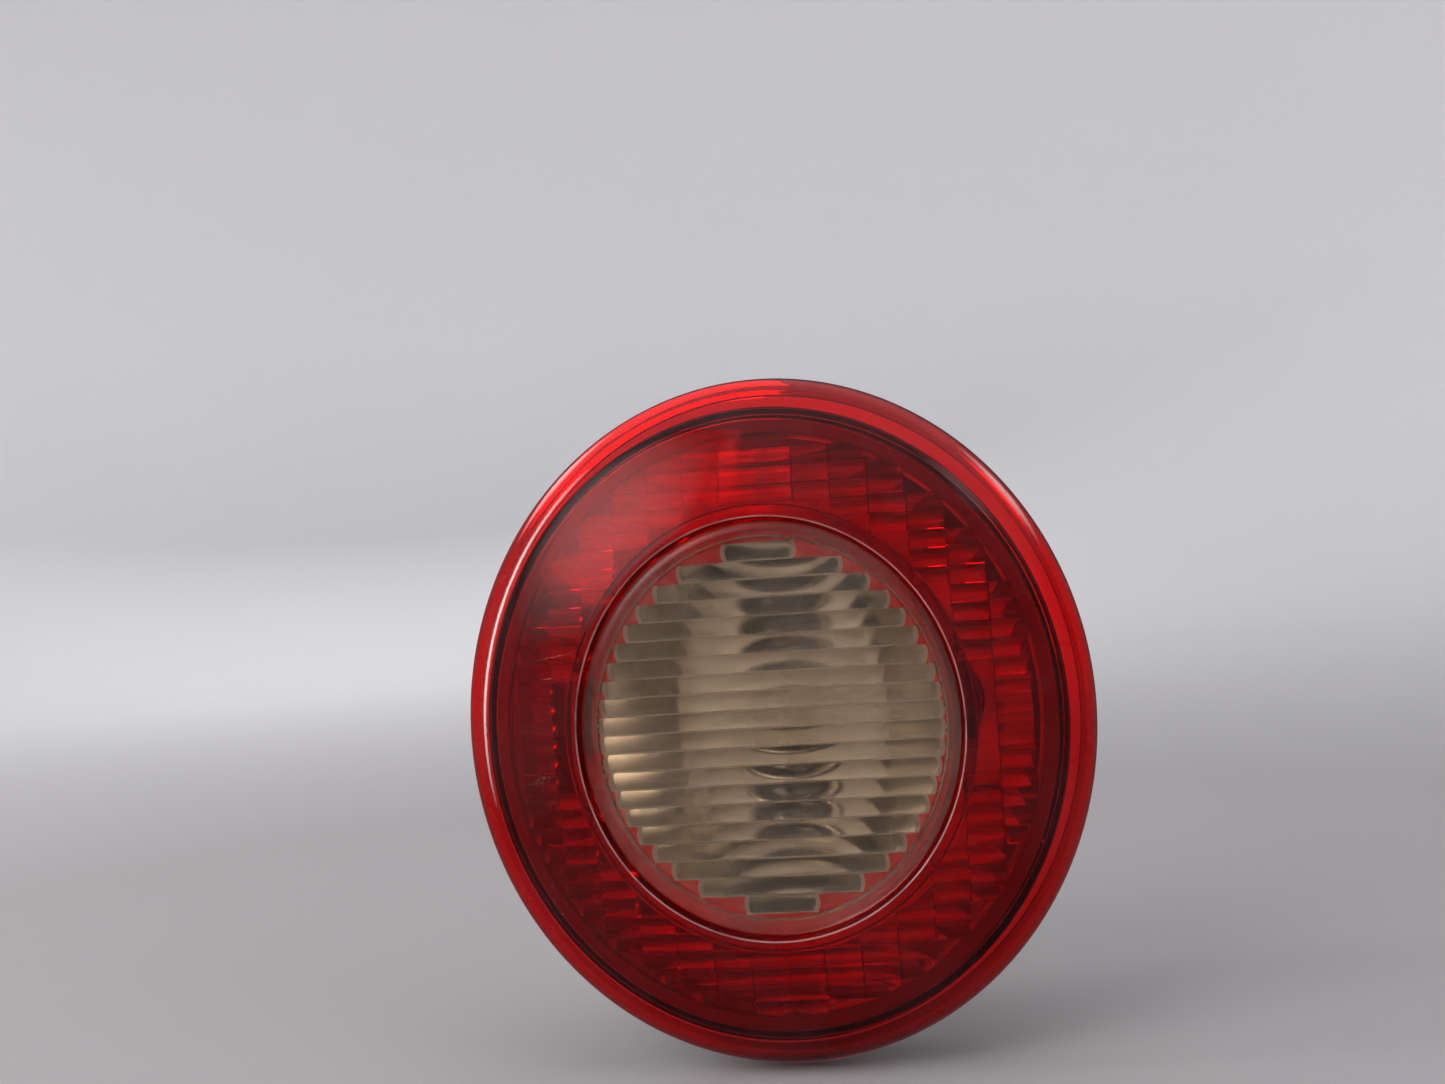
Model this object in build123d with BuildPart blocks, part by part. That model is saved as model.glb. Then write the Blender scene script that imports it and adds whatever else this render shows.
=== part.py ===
from build123d import *
import os
from math import atan2, cos, degrees, hypot, radians, sin, sqrt

# Round vehicle rear lamp, as it stands on the vehicle: the lens faces -Y, +Z is up.
# All sizes are in millimetres. The origin is the centre of the mounting face, the back of the
# body gasket. A "height" is a distance in front of that face. An oval is given by its
# half-height, and its half-width is WIDTH_RATIO times that.

# --- driving dimensions -------------------------------------------------------------------
# lens
LENS_HALF_HEIGHT = 95.0     # widest edge of the red lens
WIDTH_RATIO = 0.92          # width of every oval over its height
LENS_WALL = 3.0
SHOULDER_RADIUS = 16.0      # rounding between the lens side and its crown
SHOULDER_SWEEP = 70.0       # degrees of that rounding
CROWN_RISE = 22.5           # inner edge of the ring above the widest edge
SKIRT_DEPTH = 6.0           # how far the skirt runs back behind the widest edge
SKIRT_DRAFT = 0.8
RING_INNER = 56.7           # half-height of the edge round the clear disc
STEP_DEPTH = 5.5            # from that edge down to the ledge that the disc is welded on
STEP_DRAFT = 0.8
LEDGE_WIDTH = 4.4
LEDGE_THICK = 2.5
DISC_THICK = 3.0
DISC_CROWN = 3.0            # rise of the disc from its edge to its middle
FLUTE_PLATE = 2.0           # thickness of the fluted plate behind the disc
# housing
FLANGE_INSET = 9.6          # flange edge inside the lens's widest edge
FLANGE_WIDTH = 7.4          # flange beyond the tub
TUB_DEPTH = 33.5            # from the back of the housing to the front of its flange
HOUSING_WALL = 2.5
FLANGE_THICK = 3.0
RIM_WALL_THICK = 2.8
RIM_WALL_HEIGHT = 5.0
WELD_CHANNEL = 2.0          # between the rim wall and the rib that carries the reflector
LEDGE_RIB_THICK = 1.6
# mounting face
GASKET_THICK = 4.0
GASKET_INSET = 1.0          # gasket edge inside the tub's outline
STUD_RADIUS = 2.5
STUD_LENGTH = 20.0          # beyond the mounting face
STUD_PCD = 130.0
STUD_COUNT = 3
STUD_SHOULDER_RADIUS = 3.5  # plain part through the back plate and the gasket
STUD_HEAD_RADIUS = 5.0
STUD_HEAD_THICK = 1.8
PEG_RADIUS = 3.0
PEG_BOSS_RADIUS = 4.5       # root of the peg, through the gasket
PEG_LENGTH = 6.0            # beyond the mounting face
PEG_DROP = 62.0             # below the centre
# bulb carrier
COLLAR_HALF_WIDTH = 61.0
COLLAR_HALF_HEIGHT = 45.0
COLLAR_DEPTH = 11.5         # back from the housing's back face
COLLAR_WALL = 2.5
SEAL_THICK = 1.5
CARRIER_THICK = 2.5
CARRIER_SKIRT = 5.0
CARRIER_SKIRT_WALL = 1.6
# bulbs and their cups
CAP_RADIUS = 7.5
CAP_LENGTH = 18.0
CAP_WALL = 0.6
CAP_PIN_RADIUS = 1.0
CAP_PIN_PROUD = 1.2         # pins beyond the side of the cap
CAP_PIN_HEIGHT = 11.5       # above the end of the cap
TIP_RADIUS = 2.2
TIP_LENGTH = 0.8
GLOBE_RADIUS = 12.5
BULB_HEIGHT = 48.0
GLASS_WALL = 0.9
GLASS_START = 4.0           # lower edge of the glass above the end of the cap
GLASS_NECK_PROUD = 1.0      # straight neck beyond the cap
FLARE_BULGE = 1.0           # swell of the glass between its neck and its globe
FLARE_LIFT = 0.5
STEM_LENGTH = 5.0
POST_RADIUS = 0.4
FILAMENT_HEIGHT = 31.8
FILAMENT_SPAN = 6.0
COIL_RADIUS = 0.6
MIDDLE_BULB_OFFSET = 26.0   # indicator above, reversing below
SIDE_CUP_GAP = 0.9          # side cups inside the carrier's skirt
CUP_WALL = 2.6
CUP_FLOOR = 2.0
CUP_PROUD = 5.0             # in front of the carrier plate
PIN_REST = 3.5              # resting place of the bulb pins below the cup's edge
RELEASE_ANGLE = 25.0        # turn that frees a bulb
SLOT_WIDTH = 2.6
# metal strips
STRIP_THICK = 0.8
STRIP_WIDTH = 5.0
BUTTON_RADIUS = 2.4
EARTH_BAR_WIDTH = 10.0
EARTH_RING_WIDTH = 2.3
# connector
SHROUD_WIDTH = 34.0
SHROUD_TALL = 16.0
SHROUD_DEPTH = 14.0
SHROUD_WALL = 1.5
SHROUD_CORNER = 2.0
BLADE_COUNT = 5
BLADE_PITCH = 5.5
BLADE_WIDTH = 2.8
BLADE_REACH = 10.5
# latches
LATCH_WIDTH = 12.0
LATCH_THICK = 2.0
LATCH_HOOK = 1.3            # reach of the hook over its catch
HOOK_THICK = 1.6
HOOK_INSET = 1.0            # hook and catch narrower than the arm, on each side
LATCH_TAB = 11.0            # thumb tab behind the pivot
LATCH_PIN_RADIUS = 1.25
EAR_THICK = 1.5
EAR_DEPTH = 6.0             # back from the front of the carrier plate
EAR_ROOT = 5.0              # ears inside the collar's outline
CATCH_STAND = 1.6
CATCH_HEIGHT = 3.0
# vent
VENT_RADIUS = 4.0
VENT_BORE = 2.0
VENT_STUB = 5.0
VENT_CAP_WALL = 1.4
VENT_CAP_GAP = 0.7          # between the cap's edge and the tub
# reflector and prism ring
REFLECTOR_WALL = 1.5
REFLECTOR_STAND = 4.0       # reflector in front of the housing's back plate
REFLECTOR_DRAFT = 3.5
DISH_OVERHANG = 1.6         # dish's edge beyond the rib that carries it
DISH_GAP = 1.0              # dish inside the tub
DISH_NECK_RISE = 0.8
DISH_LIP = 0.5
BOWL_BACK_HALF_HEIGHT = 46.0
BOWL_DRAFT = 1.0            # widening of the bowl beside the bulbs
BOWL_GAP = 2.1              # between the bowl and the holes for the side bulbs
BOWL_OVERLAP = 1.5          # front edge of the bowl outside the window
PRISM_THICK = 2.0
PRISM_FOOT = 1.8
PRISM_FOOT_INSET = 0.6
PRISM_OUTER_RISE = 8.5      # outer end in front of the rim
PRISM_INNER_DROP = 5.0      # inner end behind the inside of the lens

# --- named clearances ---------------------------------------------------------------------
FIT = 0.3                   # moulded parts that sit in each other
CAP_FIT = 0.4               # bulb cap in its cup, all round
SLIDE_FIT = 0.5             # carrier skirt in the collar, all round
GLOBE_FIT = 0.9             # globe through the reflector's hole
PIN_FIT = 0.05              # latch pin in its ears
LATCH_FIT = 0.4
TOUCH = 0.2                 # contact beside what it touches

# --- levels worked out from the sizes -----------------------------------------------------
FLANGE_HALF_HEIGHT = LENS_HALF_HEIGHT - FLANGE_INSET
TUB_HALF_HEIGHT = FLANGE_HALF_HEIGHT - FLANGE_WIDTH
LEDGE_RIB_OUTER = FLANGE_HALF_HEIGHT - RIM_WALL_THICK - WELD_CHANNEL
BACK_FACE = GASKET_THICK
FLOOR = BACK_FACE + HOUSING_WALL
FLANGE_FRONT = BACK_FACE + TUB_DEPTH
RIM = FLANGE_FRONT + RIM_WALL_HEIGHT
CROWN_EDGE = RIM + CROWN_RISE
DISC_SEAT = CROWN_EDGE - STEP_DEPTH
LEDGE_BACK = DISC_SEAT - LEDGE_THICK
COLLAR_END = BACK_FACE - COLLAR_DEPTH
CARRIER_FRONT = COLLAR_END - SEAL_THICK
CARRIER_BACK = CARRIER_FRONT - CARRIER_THICK
PIN_LEVEL = CARRIER_FRONT + CUP_PROUD - PIN_REST
CAP_END = PIN_LEVEL - CAP_PIN_HEIGHT
CUP_BOTTOM = CAP_END - TIP_LENGTH - TOUCH
CUP_RADIUS = CAP_RADIUS + CAP_FIT + CUP_WALL
CAP_PIN_REACH = CAP_RADIUS + CAP_PIN_PROUD
SKIRT_GROW = -COLLAR_WALL - SLIDE_FIT
SIDE_BULB_OFFSET = COLLAR_HALF_WIDTH + SKIRT_GROW - CARRIER_SKIRT_WALL - SIDE_CUP_GAP - CUP_RADIUS
BOWL_BACK_HALF_WIDTH = SIDE_BULB_OFFSET - GLOBE_RADIUS - GLOBE_FIT - BOWL_GAP
REFLECTOR_BACK = FLOOR + REFLECTOR_STAND
WINDOW = RING_INNER - STEP_DRAFT - LEDGE_WIDTH
LATCH_INNER = COLLAR_HALF_WIDTH + CATCH_STAND + LATCH_FIT
LATCH_PIVOT = LATCH_INNER + LATCH_THICK / 2
LATCH_PIVOT_LEVEL = CARRIER_FRONT - EAR_DEPTH / 2

# Looking from in front: sketches have X to the right and Z up, and extrude towards the front.
FRONT = Plane(origin=(0, 0, 0), x_dir=(1, 0, 0), z_dir=(0, -1, 0))
# Half sections: first number is the distance above the lamp's axis, second the height.
SECTION = Plane(origin=(0, 0, 0), x_dir=(0, 0, 1), z_dir=(1, 0, 0))
LAMP_AXIS = Axis((0, 0, 0), (0, -1, 0))
BULBS = {
    "indicator": (0.0, MIDDLE_BULB_OFFSET),
    "reversing": (0.0, -MIDDLE_BULB_OFFSET),
    "stop_left": (-SIDE_BULB_OFFSET, 0.0),
    "stop_right": (SIDE_BULB_OFFSET, 0.0),
}

os.makedirs("parts", exist_ok=True)


def oval(half_height, mode=Mode.ADD):
    """An ellipse of the lamp's proportions in the current sketch."""
    return Ellipse(half_height * WIDTH_RATIO, half_height, mode=mode)


def oval_ring(outer, inner, base, height):
    """An upright oval wall from height base, of the given height, in the current part."""
    with BuildSketch(FRONT.offset(base)) as ring:
        oval(outer)
        oval(inner, mode=Mode.SUBTRACT)
    extrude(ring.sketch, amount=height)


def collar_oval(grow, mode=Mode.ADD):
    """The collar's outline in the current sketch, made larger all round by grow."""
    return Ellipse(COLLAR_HALF_WIDTH + grow, COLLAR_HALF_HEIGHT + grow, mode=mode)


def turned(height, x, z, angle):
    """The front plane at a height, moved to (x, z) and turned about the lamp's axis direction."""
    return Plane(FRONT.offset(height) * Location((x, z, 0), (0, 0, angle)))


def keep(part, name):
    """Labels a finished piece and writes it."""
    part.label = name
    export_step(part, f"parts/{name}.step")


# --- outer_lens: red ring with its skirt, weld rib and the ledge for the disc --------------
shoulder_centre = (LENS_HALF_HEIGHT - SHOULDER_RADIUS, RIM)
rib_inner = FLANGE_HALF_HEIGHT - RIM_WALL_THICK + FIT
rib_middle = (rib_inner + FLANGE_HALF_HEIGHT) / 2 - shoulder_centre[0]
rib_top = RIM + sqrt((SHOULDER_RADIUS - LENS_WALL / 2) ** 2 - rib_middle ** 2)
with BuildPart() as outer_lens:
    with BuildSketch(SECTION):
        with BuildLine():
            inside = RING_INNER + LENS_WALL
            side = Line((LENS_HALF_HEIGHT - SKIRT_DRAFT, RIM - SKIRT_DEPTH), (LENS_HALF_HEIGHT, RIM))
            shoulder = CenterArc(shoulder_centre, SHOULDER_RADIUS, 0, SHOULDER_SWEEP)
            crown = TangentArc(shoulder @ 1, (RING_INNER, CROWN_EDGE), tangent=shoulder % 1)
            step = Polyline(
                crown @ 1,
                (RING_INNER - STEP_DRAFT, DISC_SEAT),
                (WINDOW, DISC_SEAT),
                (WINDOW, LEDGE_BACK),
                (inside, LEDGE_BACK),
                (inside, CROWN_EDGE - LENS_WALL),
            )
            under_shoulder = CenterArc(
                shoulder_centre, SHOULDER_RADIUS - LENS_WALL, 0, SHOULDER_SWEEP
            )
            under_crown = TangentArc(
                under_shoulder @ 1, step @ 1, tangent=under_shoulder % 1
            )
            hem = Polyline(
                under_shoulder @ 0,
                (LENS_HALF_HEIGHT - SKIRT_DRAFT - LENS_WALL, RIM - SKIRT_DEPTH),
                side @ 0,
            )
        make_face()
        with BuildLine():
            Polyline(
                (rib_inner, RIM),
                (FLANGE_HALF_HEIGHT, RIM),
                (FLANGE_HALF_HEIGHT, rib_top),
                (rib_inner, rib_top),
                close=True,
            )
        make_face()
    revolve(axis=LAMP_AXIS)
    scale(by=(WIDTH_RATIO, 1, 1), about=(0, 0, 0))
keep(outer_lens.part, "outer_lens")

# --- centre_lens: clear disc welded on the ledge, with its fluted plate behind -------------
disc_half_height = RING_INNER - STEP_DRAFT - FIT
disc_front = DISC_SEAT + DISC_THICK
with BuildPart() as centre_lens:
    with BuildSketch(SECTION):
        with BuildLine():
            front = TangentArc(
                (0, disc_front + DISC_CROWN), (disc_half_height, disc_front), tangent=(1, 0)
            )
            Polyline(
                front @ 1,
                (disc_half_height, DISC_SEAT),
                (WINDOW - FIT, DISC_SEAT),
                (WINDOW - FIT, DISC_SEAT - FLUTE_PLATE),
                (0, DISC_SEAT - FLUTE_PLATE),
                front @ 0,
            )
        make_face()
    revolve(axis=LAMP_AXIS)
    scale(by=(WIDTH_RATIO, 1, 1), about=(0, 0, 0))
keep(centre_lens.part, "centre_lens")

# --- housing: tub, flange with weld channel, back plate and carrier collar -----------------
stud_angles = [radians(90 + 360 / STUD_COUNT * n) for n in range(STUD_COUNT)]
stud_places = [(STUD_PCD / 2 * cos(angle), STUD_PCD / 2 * sin(angle)) for angle in stud_angles]
vent_plane = Plane(
    origin=(0, -(FLOOR + FLANGE_FRONT) / 2, -TUB_HALF_HEIGHT), x_dir=(1, 0, 0), z_dir=(0, 0, -1)
)
with BuildPart() as housing:
    oval_ring(TUB_HALF_HEIGHT, TUB_HALF_HEIGHT - HOUSING_WALL, BACK_FACE, TUB_DEPTH)
    oval_ring(
        FLANGE_HALF_HEIGHT, TUB_HALF_HEIGHT - HOUSING_WALL, FLANGE_FRONT - FLANGE_THICK, FLANGE_THICK
    )
    oval_ring(
        FLANGE_HALF_HEIGHT, FLANGE_HALF_HEIGHT - RIM_WALL_THICK, FLANGE_FRONT, RIM_WALL_HEIGHT
    )
    oval_ring(LEDGE_RIB_OUTER, LEDGE_RIB_OUTER - LEDGE_RIB_THICK, FLANGE_FRONT, RIM_WALL_HEIGHT)
    with BuildSketch(FRONT.offset(BACK_FACE)):
        oval(TUB_HALF_HEIGHT)
    extrude(amount=HOUSING_WALL)
    with BuildSketch(FRONT.offset(COLLAR_END)):
        collar_oval(0)
    extrude(amount=COLLAR_DEPTH + HOUSING_WALL)
    # catches for the two latches
    with BuildSketch(FRONT.offset(COLLAR_END + LATCH_FIT)):
        Rectangle(2 * (COLLAR_HALF_WIDTH + CATCH_STAND), LATCH_WIDTH - 2 * HOOK_INSET)
    extrude(amount=CATCH_HEIGHT)
    # seats for the stud heads
    with BuildSketch(FRONT.offset(BACK_FACE)):
        with Locations(*stud_places):
            Circle(STUD_HEAD_RADIUS + HOUSING_WALL)
    extrude(amount=HOUSING_WALL + STUD_HEAD_THICK - TOUCH)
    # locating peg on its boss
    with BuildSketch(FRONT):
        with Locations((0, -PEG_DROP)):
            Circle(PEG_BOSS_RADIUS)
    extrude(amount=BACK_FACE)
    with BuildSketch(FRONT.offset(-PEG_LENGTH)):
        with Locations((0, -PEG_DROP)):
            Circle(PEG_RADIUS)
    extrude(amount=PEG_LENGTH)
    # vent stub under the tub
    with BuildSketch(vent_plane.offset(-HOUSING_WALL / 2)):
        Circle(VENT_RADIUS)
    extrude(amount=VENT_STUB + HOUSING_WALL / 2)
    with BuildSketch(vent_plane.offset(-2 * HOUSING_WALL)):
        Circle(VENT_BORE)
    extrude(amount=VENT_STUB + 2 * HOUSING_WALL, mode=Mode.SUBTRACT)
    # way through the collar
    with BuildSketch(FRONT.offset(COLLAR_END)):
        collar_oval(-COLLAR_WALL)
    extrude(amount=COLLAR_DEPTH + HOUSING_WALL, mode=Mode.SUBTRACT)
    # holes for the studs and pockets for their heads
    with BuildSketch(FRONT.offset(BACK_FACE)):
        with Locations(*stud_places):
            Circle(STUD_SHOULDER_RADIUS)
    extrude(amount=HOUSING_WALL, mode=Mode.SUBTRACT)
    with BuildSketch(FRONT.offset(FLOOR - TOUCH)):
        with Locations(*stud_places):
            Circle(STUD_HEAD_RADIUS)
    extrude(amount=STUD_HEAD_THICK + HOUSING_WALL, mode=Mode.SUBTRACT)
keep(housing.part, "housing")

# --- mounting_studs: three threaded studs pressed into the back plate ----------------------
with BuildPart() as mounting_studs:
    with BuildSketch(FRONT.offset(-STUD_LENGTH)):
        with Locations(*stud_places):
            Circle(STUD_RADIUS)
    extrude(amount=STUD_LENGTH)
    with BuildSketch(FRONT):
        with Locations(*stud_places):
            Circle(STUD_SHOULDER_RADIUS)
    extrude(amount=FLOOR - TOUCH)
    with BuildSketch(FRONT.offset(FLOOR - TOUCH)):
        with Locations(*stud_places):
            Circle(STUD_HEAD_RADIUS)
    extrude(amount=STUD_HEAD_THICK)
keep(mounting_studs.part, "mounting_studs")

# --- body_gasket: foam ring between the back plate and the vehicle -------------------------
with BuildPart() as body_gasket:
    with BuildSketch(FRONT):
        oval(TUB_HALF_HEIGHT - GASKET_INSET)
        collar_oval(CATCH_STAND + LATCH_THICK + 2 * LATCH_FIT, mode=Mode.SUBTRACT)
        with Locations(*stud_places):
            Circle(STUD_SHOULDER_RADIUS + FIT, mode=Mode.SUBTRACT)
        with Locations((0, -PEG_DROP)):
            Circle(PEG_BOSS_RADIUS + FIT, mode=Mode.SUBTRACT)
    extrude(amount=GASKET_THICK)
keep(body_gasket.part, "body_gasket")

# --- vent_cap: rubber cap pushed over the vent stub ----------------------------------------
with BuildPart() as vent_cap:
    with BuildSketch(vent_plane.offset(VENT_CAP_GAP)):
        Circle(VENT_RADIUS + VENT_CAP_WALL)
    extrude(amount=VENT_STUB + VENT_CAP_WALL - VENT_CAP_GAP)
    with BuildSketch(vent_plane):
        Circle(VENT_RADIUS)
    extrude(amount=VENT_STUB, mode=Mode.SUBTRACT)
keep(vent_cap.part, "vent_cap")

# --- reflector: metallised dish, middle bowl and back wall with four bulb holes ------------
dish_rim = LEDGE_RIB_OUTER + DISH_OVERHANG
dish_top = LEDGE_RIB_OUTER - LEDGE_RIB_THICK - FIT
dish_neck = TUB_HALF_HEIGHT - HOUSING_WALL - DISH_GAP
dish_foot = dish_neck - REFLECTOR_DRAFT
neck_level = FLANGE_FRONT + DISH_NECK_RISE
bowl_top = WINDOW + BOWL_OVERLAP
bowl_top_level = LEDGE_BACK - FIT
waist_level = CAP_END + BULB_HEIGHT - FIT
with BuildPart() as reflector:
    with BuildSketch(SECTION):
        with BuildLine():
            Polyline(
                (0, REFLECTOR_BACK),
                (dish_foot, REFLECTOR_BACK),
                (dish_neck, neck_level),
                (dish_top, RIM),
                (dish_rim, RIM),
                (dish_rim, RIM + REFLECTOR_WALL),
                (dish_top - DISH_LIP, RIM + REFLECTOR_WALL),
                (dish_neck - REFLECTOR_WALL, neck_level + REFLECTOR_WALL),
                (dish_foot - REFLECTOR_WALL, REFLECTOR_BACK + REFLECTOR_WALL),
                (0, REFLECTOR_BACK + REFLECTOR_WALL),
                close=True,
            )
        make_face()
    revolve(axis=LAMP_AXIS)
    scale(by=(WIDTH_RATIO, 1, 1), about=(0, 0, 0))
    for wall, base, mode in (
        (0, REFLECTOR_BACK, Mode.ADD),
        (REFLECTOR_WALL, REFLECTOR_BACK + REFLECTOR_WALL, Mode.SUBTRACT),
    ):
        half_width = BOWL_BACK_HALF_WIDTH - wall
        half_height = BOWL_BACK_HALF_HEIGHT - wall
        with BuildSketch(FRONT.offset(base)):
            Ellipse(half_width, half_height)
        with BuildSketch(FRONT.offset(waist_level)):
            Ellipse(half_width + BOWL_DRAFT, half_height + BOWL_DRAFT)
        with BuildSketch(FRONT.offset(bowl_top_level)):
            oval(bowl_top - wall)
        loft(ruled=True, mode=mode)
    with BuildSketch(FRONT.offset(REFLECTOR_BACK)):
        with Locations(*BULBS.values()):
            Circle(GLOBE_RADIUS + GLOBE_FIT)
    extrude(amount=REFLECTOR_WALL, mode=Mode.SUBTRACT)
keep(reflector.part, "reflector")

# --- optic_ring: prism ring between the reflector and the red lens -------------------------
ring_inner = RING_INNER + LENS_WALL + FIT
ring_foot = dish_rim - PRISM_FOOT_INSET
foot_level = RIM + REFLECTOR_WALL
ring_outer_level = RIM + PRISM_OUTER_RISE
ring_inner_level = CROWN_EDGE - LENS_WALL - PRISM_INNER_DROP
with BuildPart() as optic_ring:
    with BuildSketch(SECTION):
        with BuildLine():
            Polyline(
                (ring_inner, ring_inner_level),
                (ring_foot - PRISM_FOOT, ring_outer_level),
                (ring_foot - PRISM_FOOT, foot_level),
                (ring_foot, foot_level),
                (ring_foot, ring_outer_level + PRISM_THICK),
                (ring_inner, ring_inner_level + PRISM_THICK),
                close=True,
            )
        make_face()
    revolve(axis=LAMP_AXIS)
    scale(by=(WIDTH_RATIO, 1, 1), about=(0, 0, 0))
keep(optic_ring.part, "optic_ring")

# --- carrier_seal: rubber ring between the collar and the carrier --------------------------
with BuildPart() as carrier_seal:
    with BuildSketch(FRONT.offset(CARRIER_FRONT)):
        collar_oval(0)
        collar_oval(-COLLAR_WALL, mode=Mode.SUBTRACT)
    extrude(amount=SEAL_THICK)
keep(carrier_seal.part, "carrier_seal")

# --- carrier_plate: plate with its skirt, four bayonet cups, connector shroud and ears -----
blade_places = [((n - (BLADE_COUNT - 1) / 2) * BLADE_PITCH, 0.0) for n in range(BLADE_COUNT)]
ear_offset = LATCH_WIDTH / 2 + FIT + EAR_THICK / 2
ear_reach = LATCH_PIVOT + LATCH_PIN_RADIUS + EAR_THICK
ear_root = COLLAR_HALF_WIDTH - EAR_ROOT
ear_middle = (ear_root + ear_reach) / 2
ear_places = [(x * ear_middle, z * ear_offset) for x in (-1, 1) for z in (-1, 1)]
with BuildPart() as carrier_plate:
    with BuildSketch(FRONT.offset(CARRIER_BACK)):
        collar_oval(0)
    extrude(amount=CARRIER_THICK)
    with BuildSketch(FRONT.offset(CARRIER_FRONT)):
        collar_oval(SKIRT_GROW)
        collar_oval(SKIRT_GROW - CARRIER_SKIRT_WALL, mode=Mode.SUBTRACT)
    extrude(amount=CARRIER_SKIRT)
    with BuildSketch(FRONT.offset(CUP_BOTTOM - CUP_FLOOR)):
        with Locations(*BULBS.values()):
            Circle(CUP_RADIUS)
    extrude(amount=CARRIER_FRONT + CUP_PROUD - CUP_BOTTOM + CUP_FLOOR)
    with BuildSketch(FRONT.offset(CARRIER_BACK - SHROUD_DEPTH)):
        RectangleRounded(SHROUD_WIDTH, SHROUD_TALL, SHROUD_CORNER)
    extrude(amount=SHROUD_DEPTH)
    # ears that hold the latch pins
    with BuildSketch(FRONT.offset(CARRIER_FRONT - EAR_DEPTH)):
        with Locations(*ear_places):
            Rectangle(ear_reach - ear_root, EAR_THICK)
    extrude(amount=EAR_DEPTH)
    # inside of the shroud and of the cups
    with BuildSketch(FRONT.offset(CARRIER_BACK - SHROUD_DEPTH)):
        RectangleRounded(
            SHROUD_WIDTH - 2 * SHROUD_WALL,
            SHROUD_TALL - 2 * SHROUD_WALL,
            SHROUD_CORNER - SHROUD_WALL,
        )
    extrude(amount=SHROUD_DEPTH, mode=Mode.SUBTRACT)
    with BuildSketch(FRONT.offset(CUP_BOTTOM)):
        with Locations(*BULBS.values()):
            Circle(CAP_RADIUS + CAP_FIT)
    extrude(amount=CARRIER_FRONT + CUP_PROUD - CUP_BOTTOM, mode=Mode.SUBTRACT)
    # windows for the contact buttons and slits for the blades
    with BuildSketch(FRONT.offset(CUP_BOTTOM - CUP_FLOOR)):
        with Locations(*BULBS.values()):
            Circle(BUTTON_RADIUS + FIT)
    extrude(amount=CUP_FLOOR, mode=Mode.SUBTRACT)
    with BuildSketch(FRONT.offset(CARRIER_BACK)):
        with Locations(*blade_places):
            Rectangle(STRIP_THICK, BLADE_WIDTH)
    extrude(amount=CARRIER_THICK, mode=Mode.SUBTRACT)
    # bayonet slots: in from the front, then round to the resting place
    slot_reach = CAP_PIN_REACH + FIT
    slot_low = -degrees(SLOT_WIDTH / 2 / CAP_RADIUS)
    pocket_half = CAP_PIN_RADIUS + TOUCH
    for x, z in BULBS.values():
        for start in (0, 180):
            with BuildSketch(turned(PIN_LEVEL - pocket_half, x, z, start + slot_low)):
                with BuildLine():
                    rim_arc = CenterArc((0, 0), slot_reach, 0, RELEASE_ANGLE - 2 * slot_low)
                    Line((0, 0), rim_arc @ 0)
                    Line((0, 0), rim_arc @ 1)
                make_face()
            extrude(amount=2 * pocket_half, mode=Mode.SUBTRACT)
            with BuildSketch(turned(PIN_LEVEL, x, z, start + RELEASE_ANGLE)):
                with Locations((slot_reach / 2, 0)):
                    Rectangle(slot_reach, SLOT_WIDTH)
            extrude(amount=CUP_PROUD, mode=Mode.SUBTRACT)
    # pin holes in the ears
    for side_x in (-1, 1):
        ear_hole = Plane(
            origin=(side_x * LATCH_PIVOT, -LATCH_PIVOT_LEVEL, 0), x_dir=(1, 0, 0), z_dir=(0, 0, 1)
        )
        with BuildSketch(ear_hole.offset(-ear_offset - EAR_THICK)):
            Circle(LATCH_PIN_RADIUS + PIN_FIT)
        extrude(amount=2 * (ear_offset + EAR_THICK), mode=Mode.SUBTRACT)
keep(carrier_plate.part, "carrier_plate")

# --- latches: rocker with a hook in front and a thumb tab behind its pivot pin -------------
catch_front = COLLAR_END + LATCH_FIT + CATCH_HEIGHT
hook_back = catch_front + LATCH_FIT
for side_name, side_x in (("left", -1), ("right", 1)):
    with BuildPart() as latch:
        arm_back = LATCH_PIVOT_LEVEL - LATCH_TAB
        with BuildSketch(FRONT.offset(arm_back)):
            with Locations((side_x * LATCH_PIVOT, 0)):
                Rectangle(LATCH_THICK, LATCH_WIDTH)
        extrude(amount=hook_back + HOOK_THICK - arm_back)
        with BuildSketch(FRONT.offset(hook_back)):
            with Locations((side_x * (LATCH_INNER - LATCH_HOOK / 2), 0)):
                Rectangle(LATCH_HOOK, LATCH_WIDTH - 2 * HOOK_INSET)
        extrude(amount=HOOK_THICK)
        pin_plane = Plane(
            origin=(side_x * LATCH_PIVOT, -LATCH_PIVOT_LEVEL, 0), x_dir=(1, 0, 0), z_dir=(0, 0, 1)
        )
        pin_half = ear_offset + EAR_THICK / 2
        with BuildSketch(pin_plane.offset(-pin_half)):
            Circle(LATCH_PIN_RADIUS)
        extrude(amount=2 * pin_half)
    keep(latch.part, f"latch_{side_name}")

# --- connector_pins: five blades through the plate into the shroud -------------------------
with BuildPart() as connector_pins:
    with BuildSketch(FRONT.offset(CARRIER_BACK - BLADE_REACH)):
        with Locations(*blade_places):
            Rectangle(STRIP_THICK, BLADE_WIDTH)
    extrude(amount=BLADE_REACH + CARRIER_THICK)
keep(connector_pins.part, "connector_pins")

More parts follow.
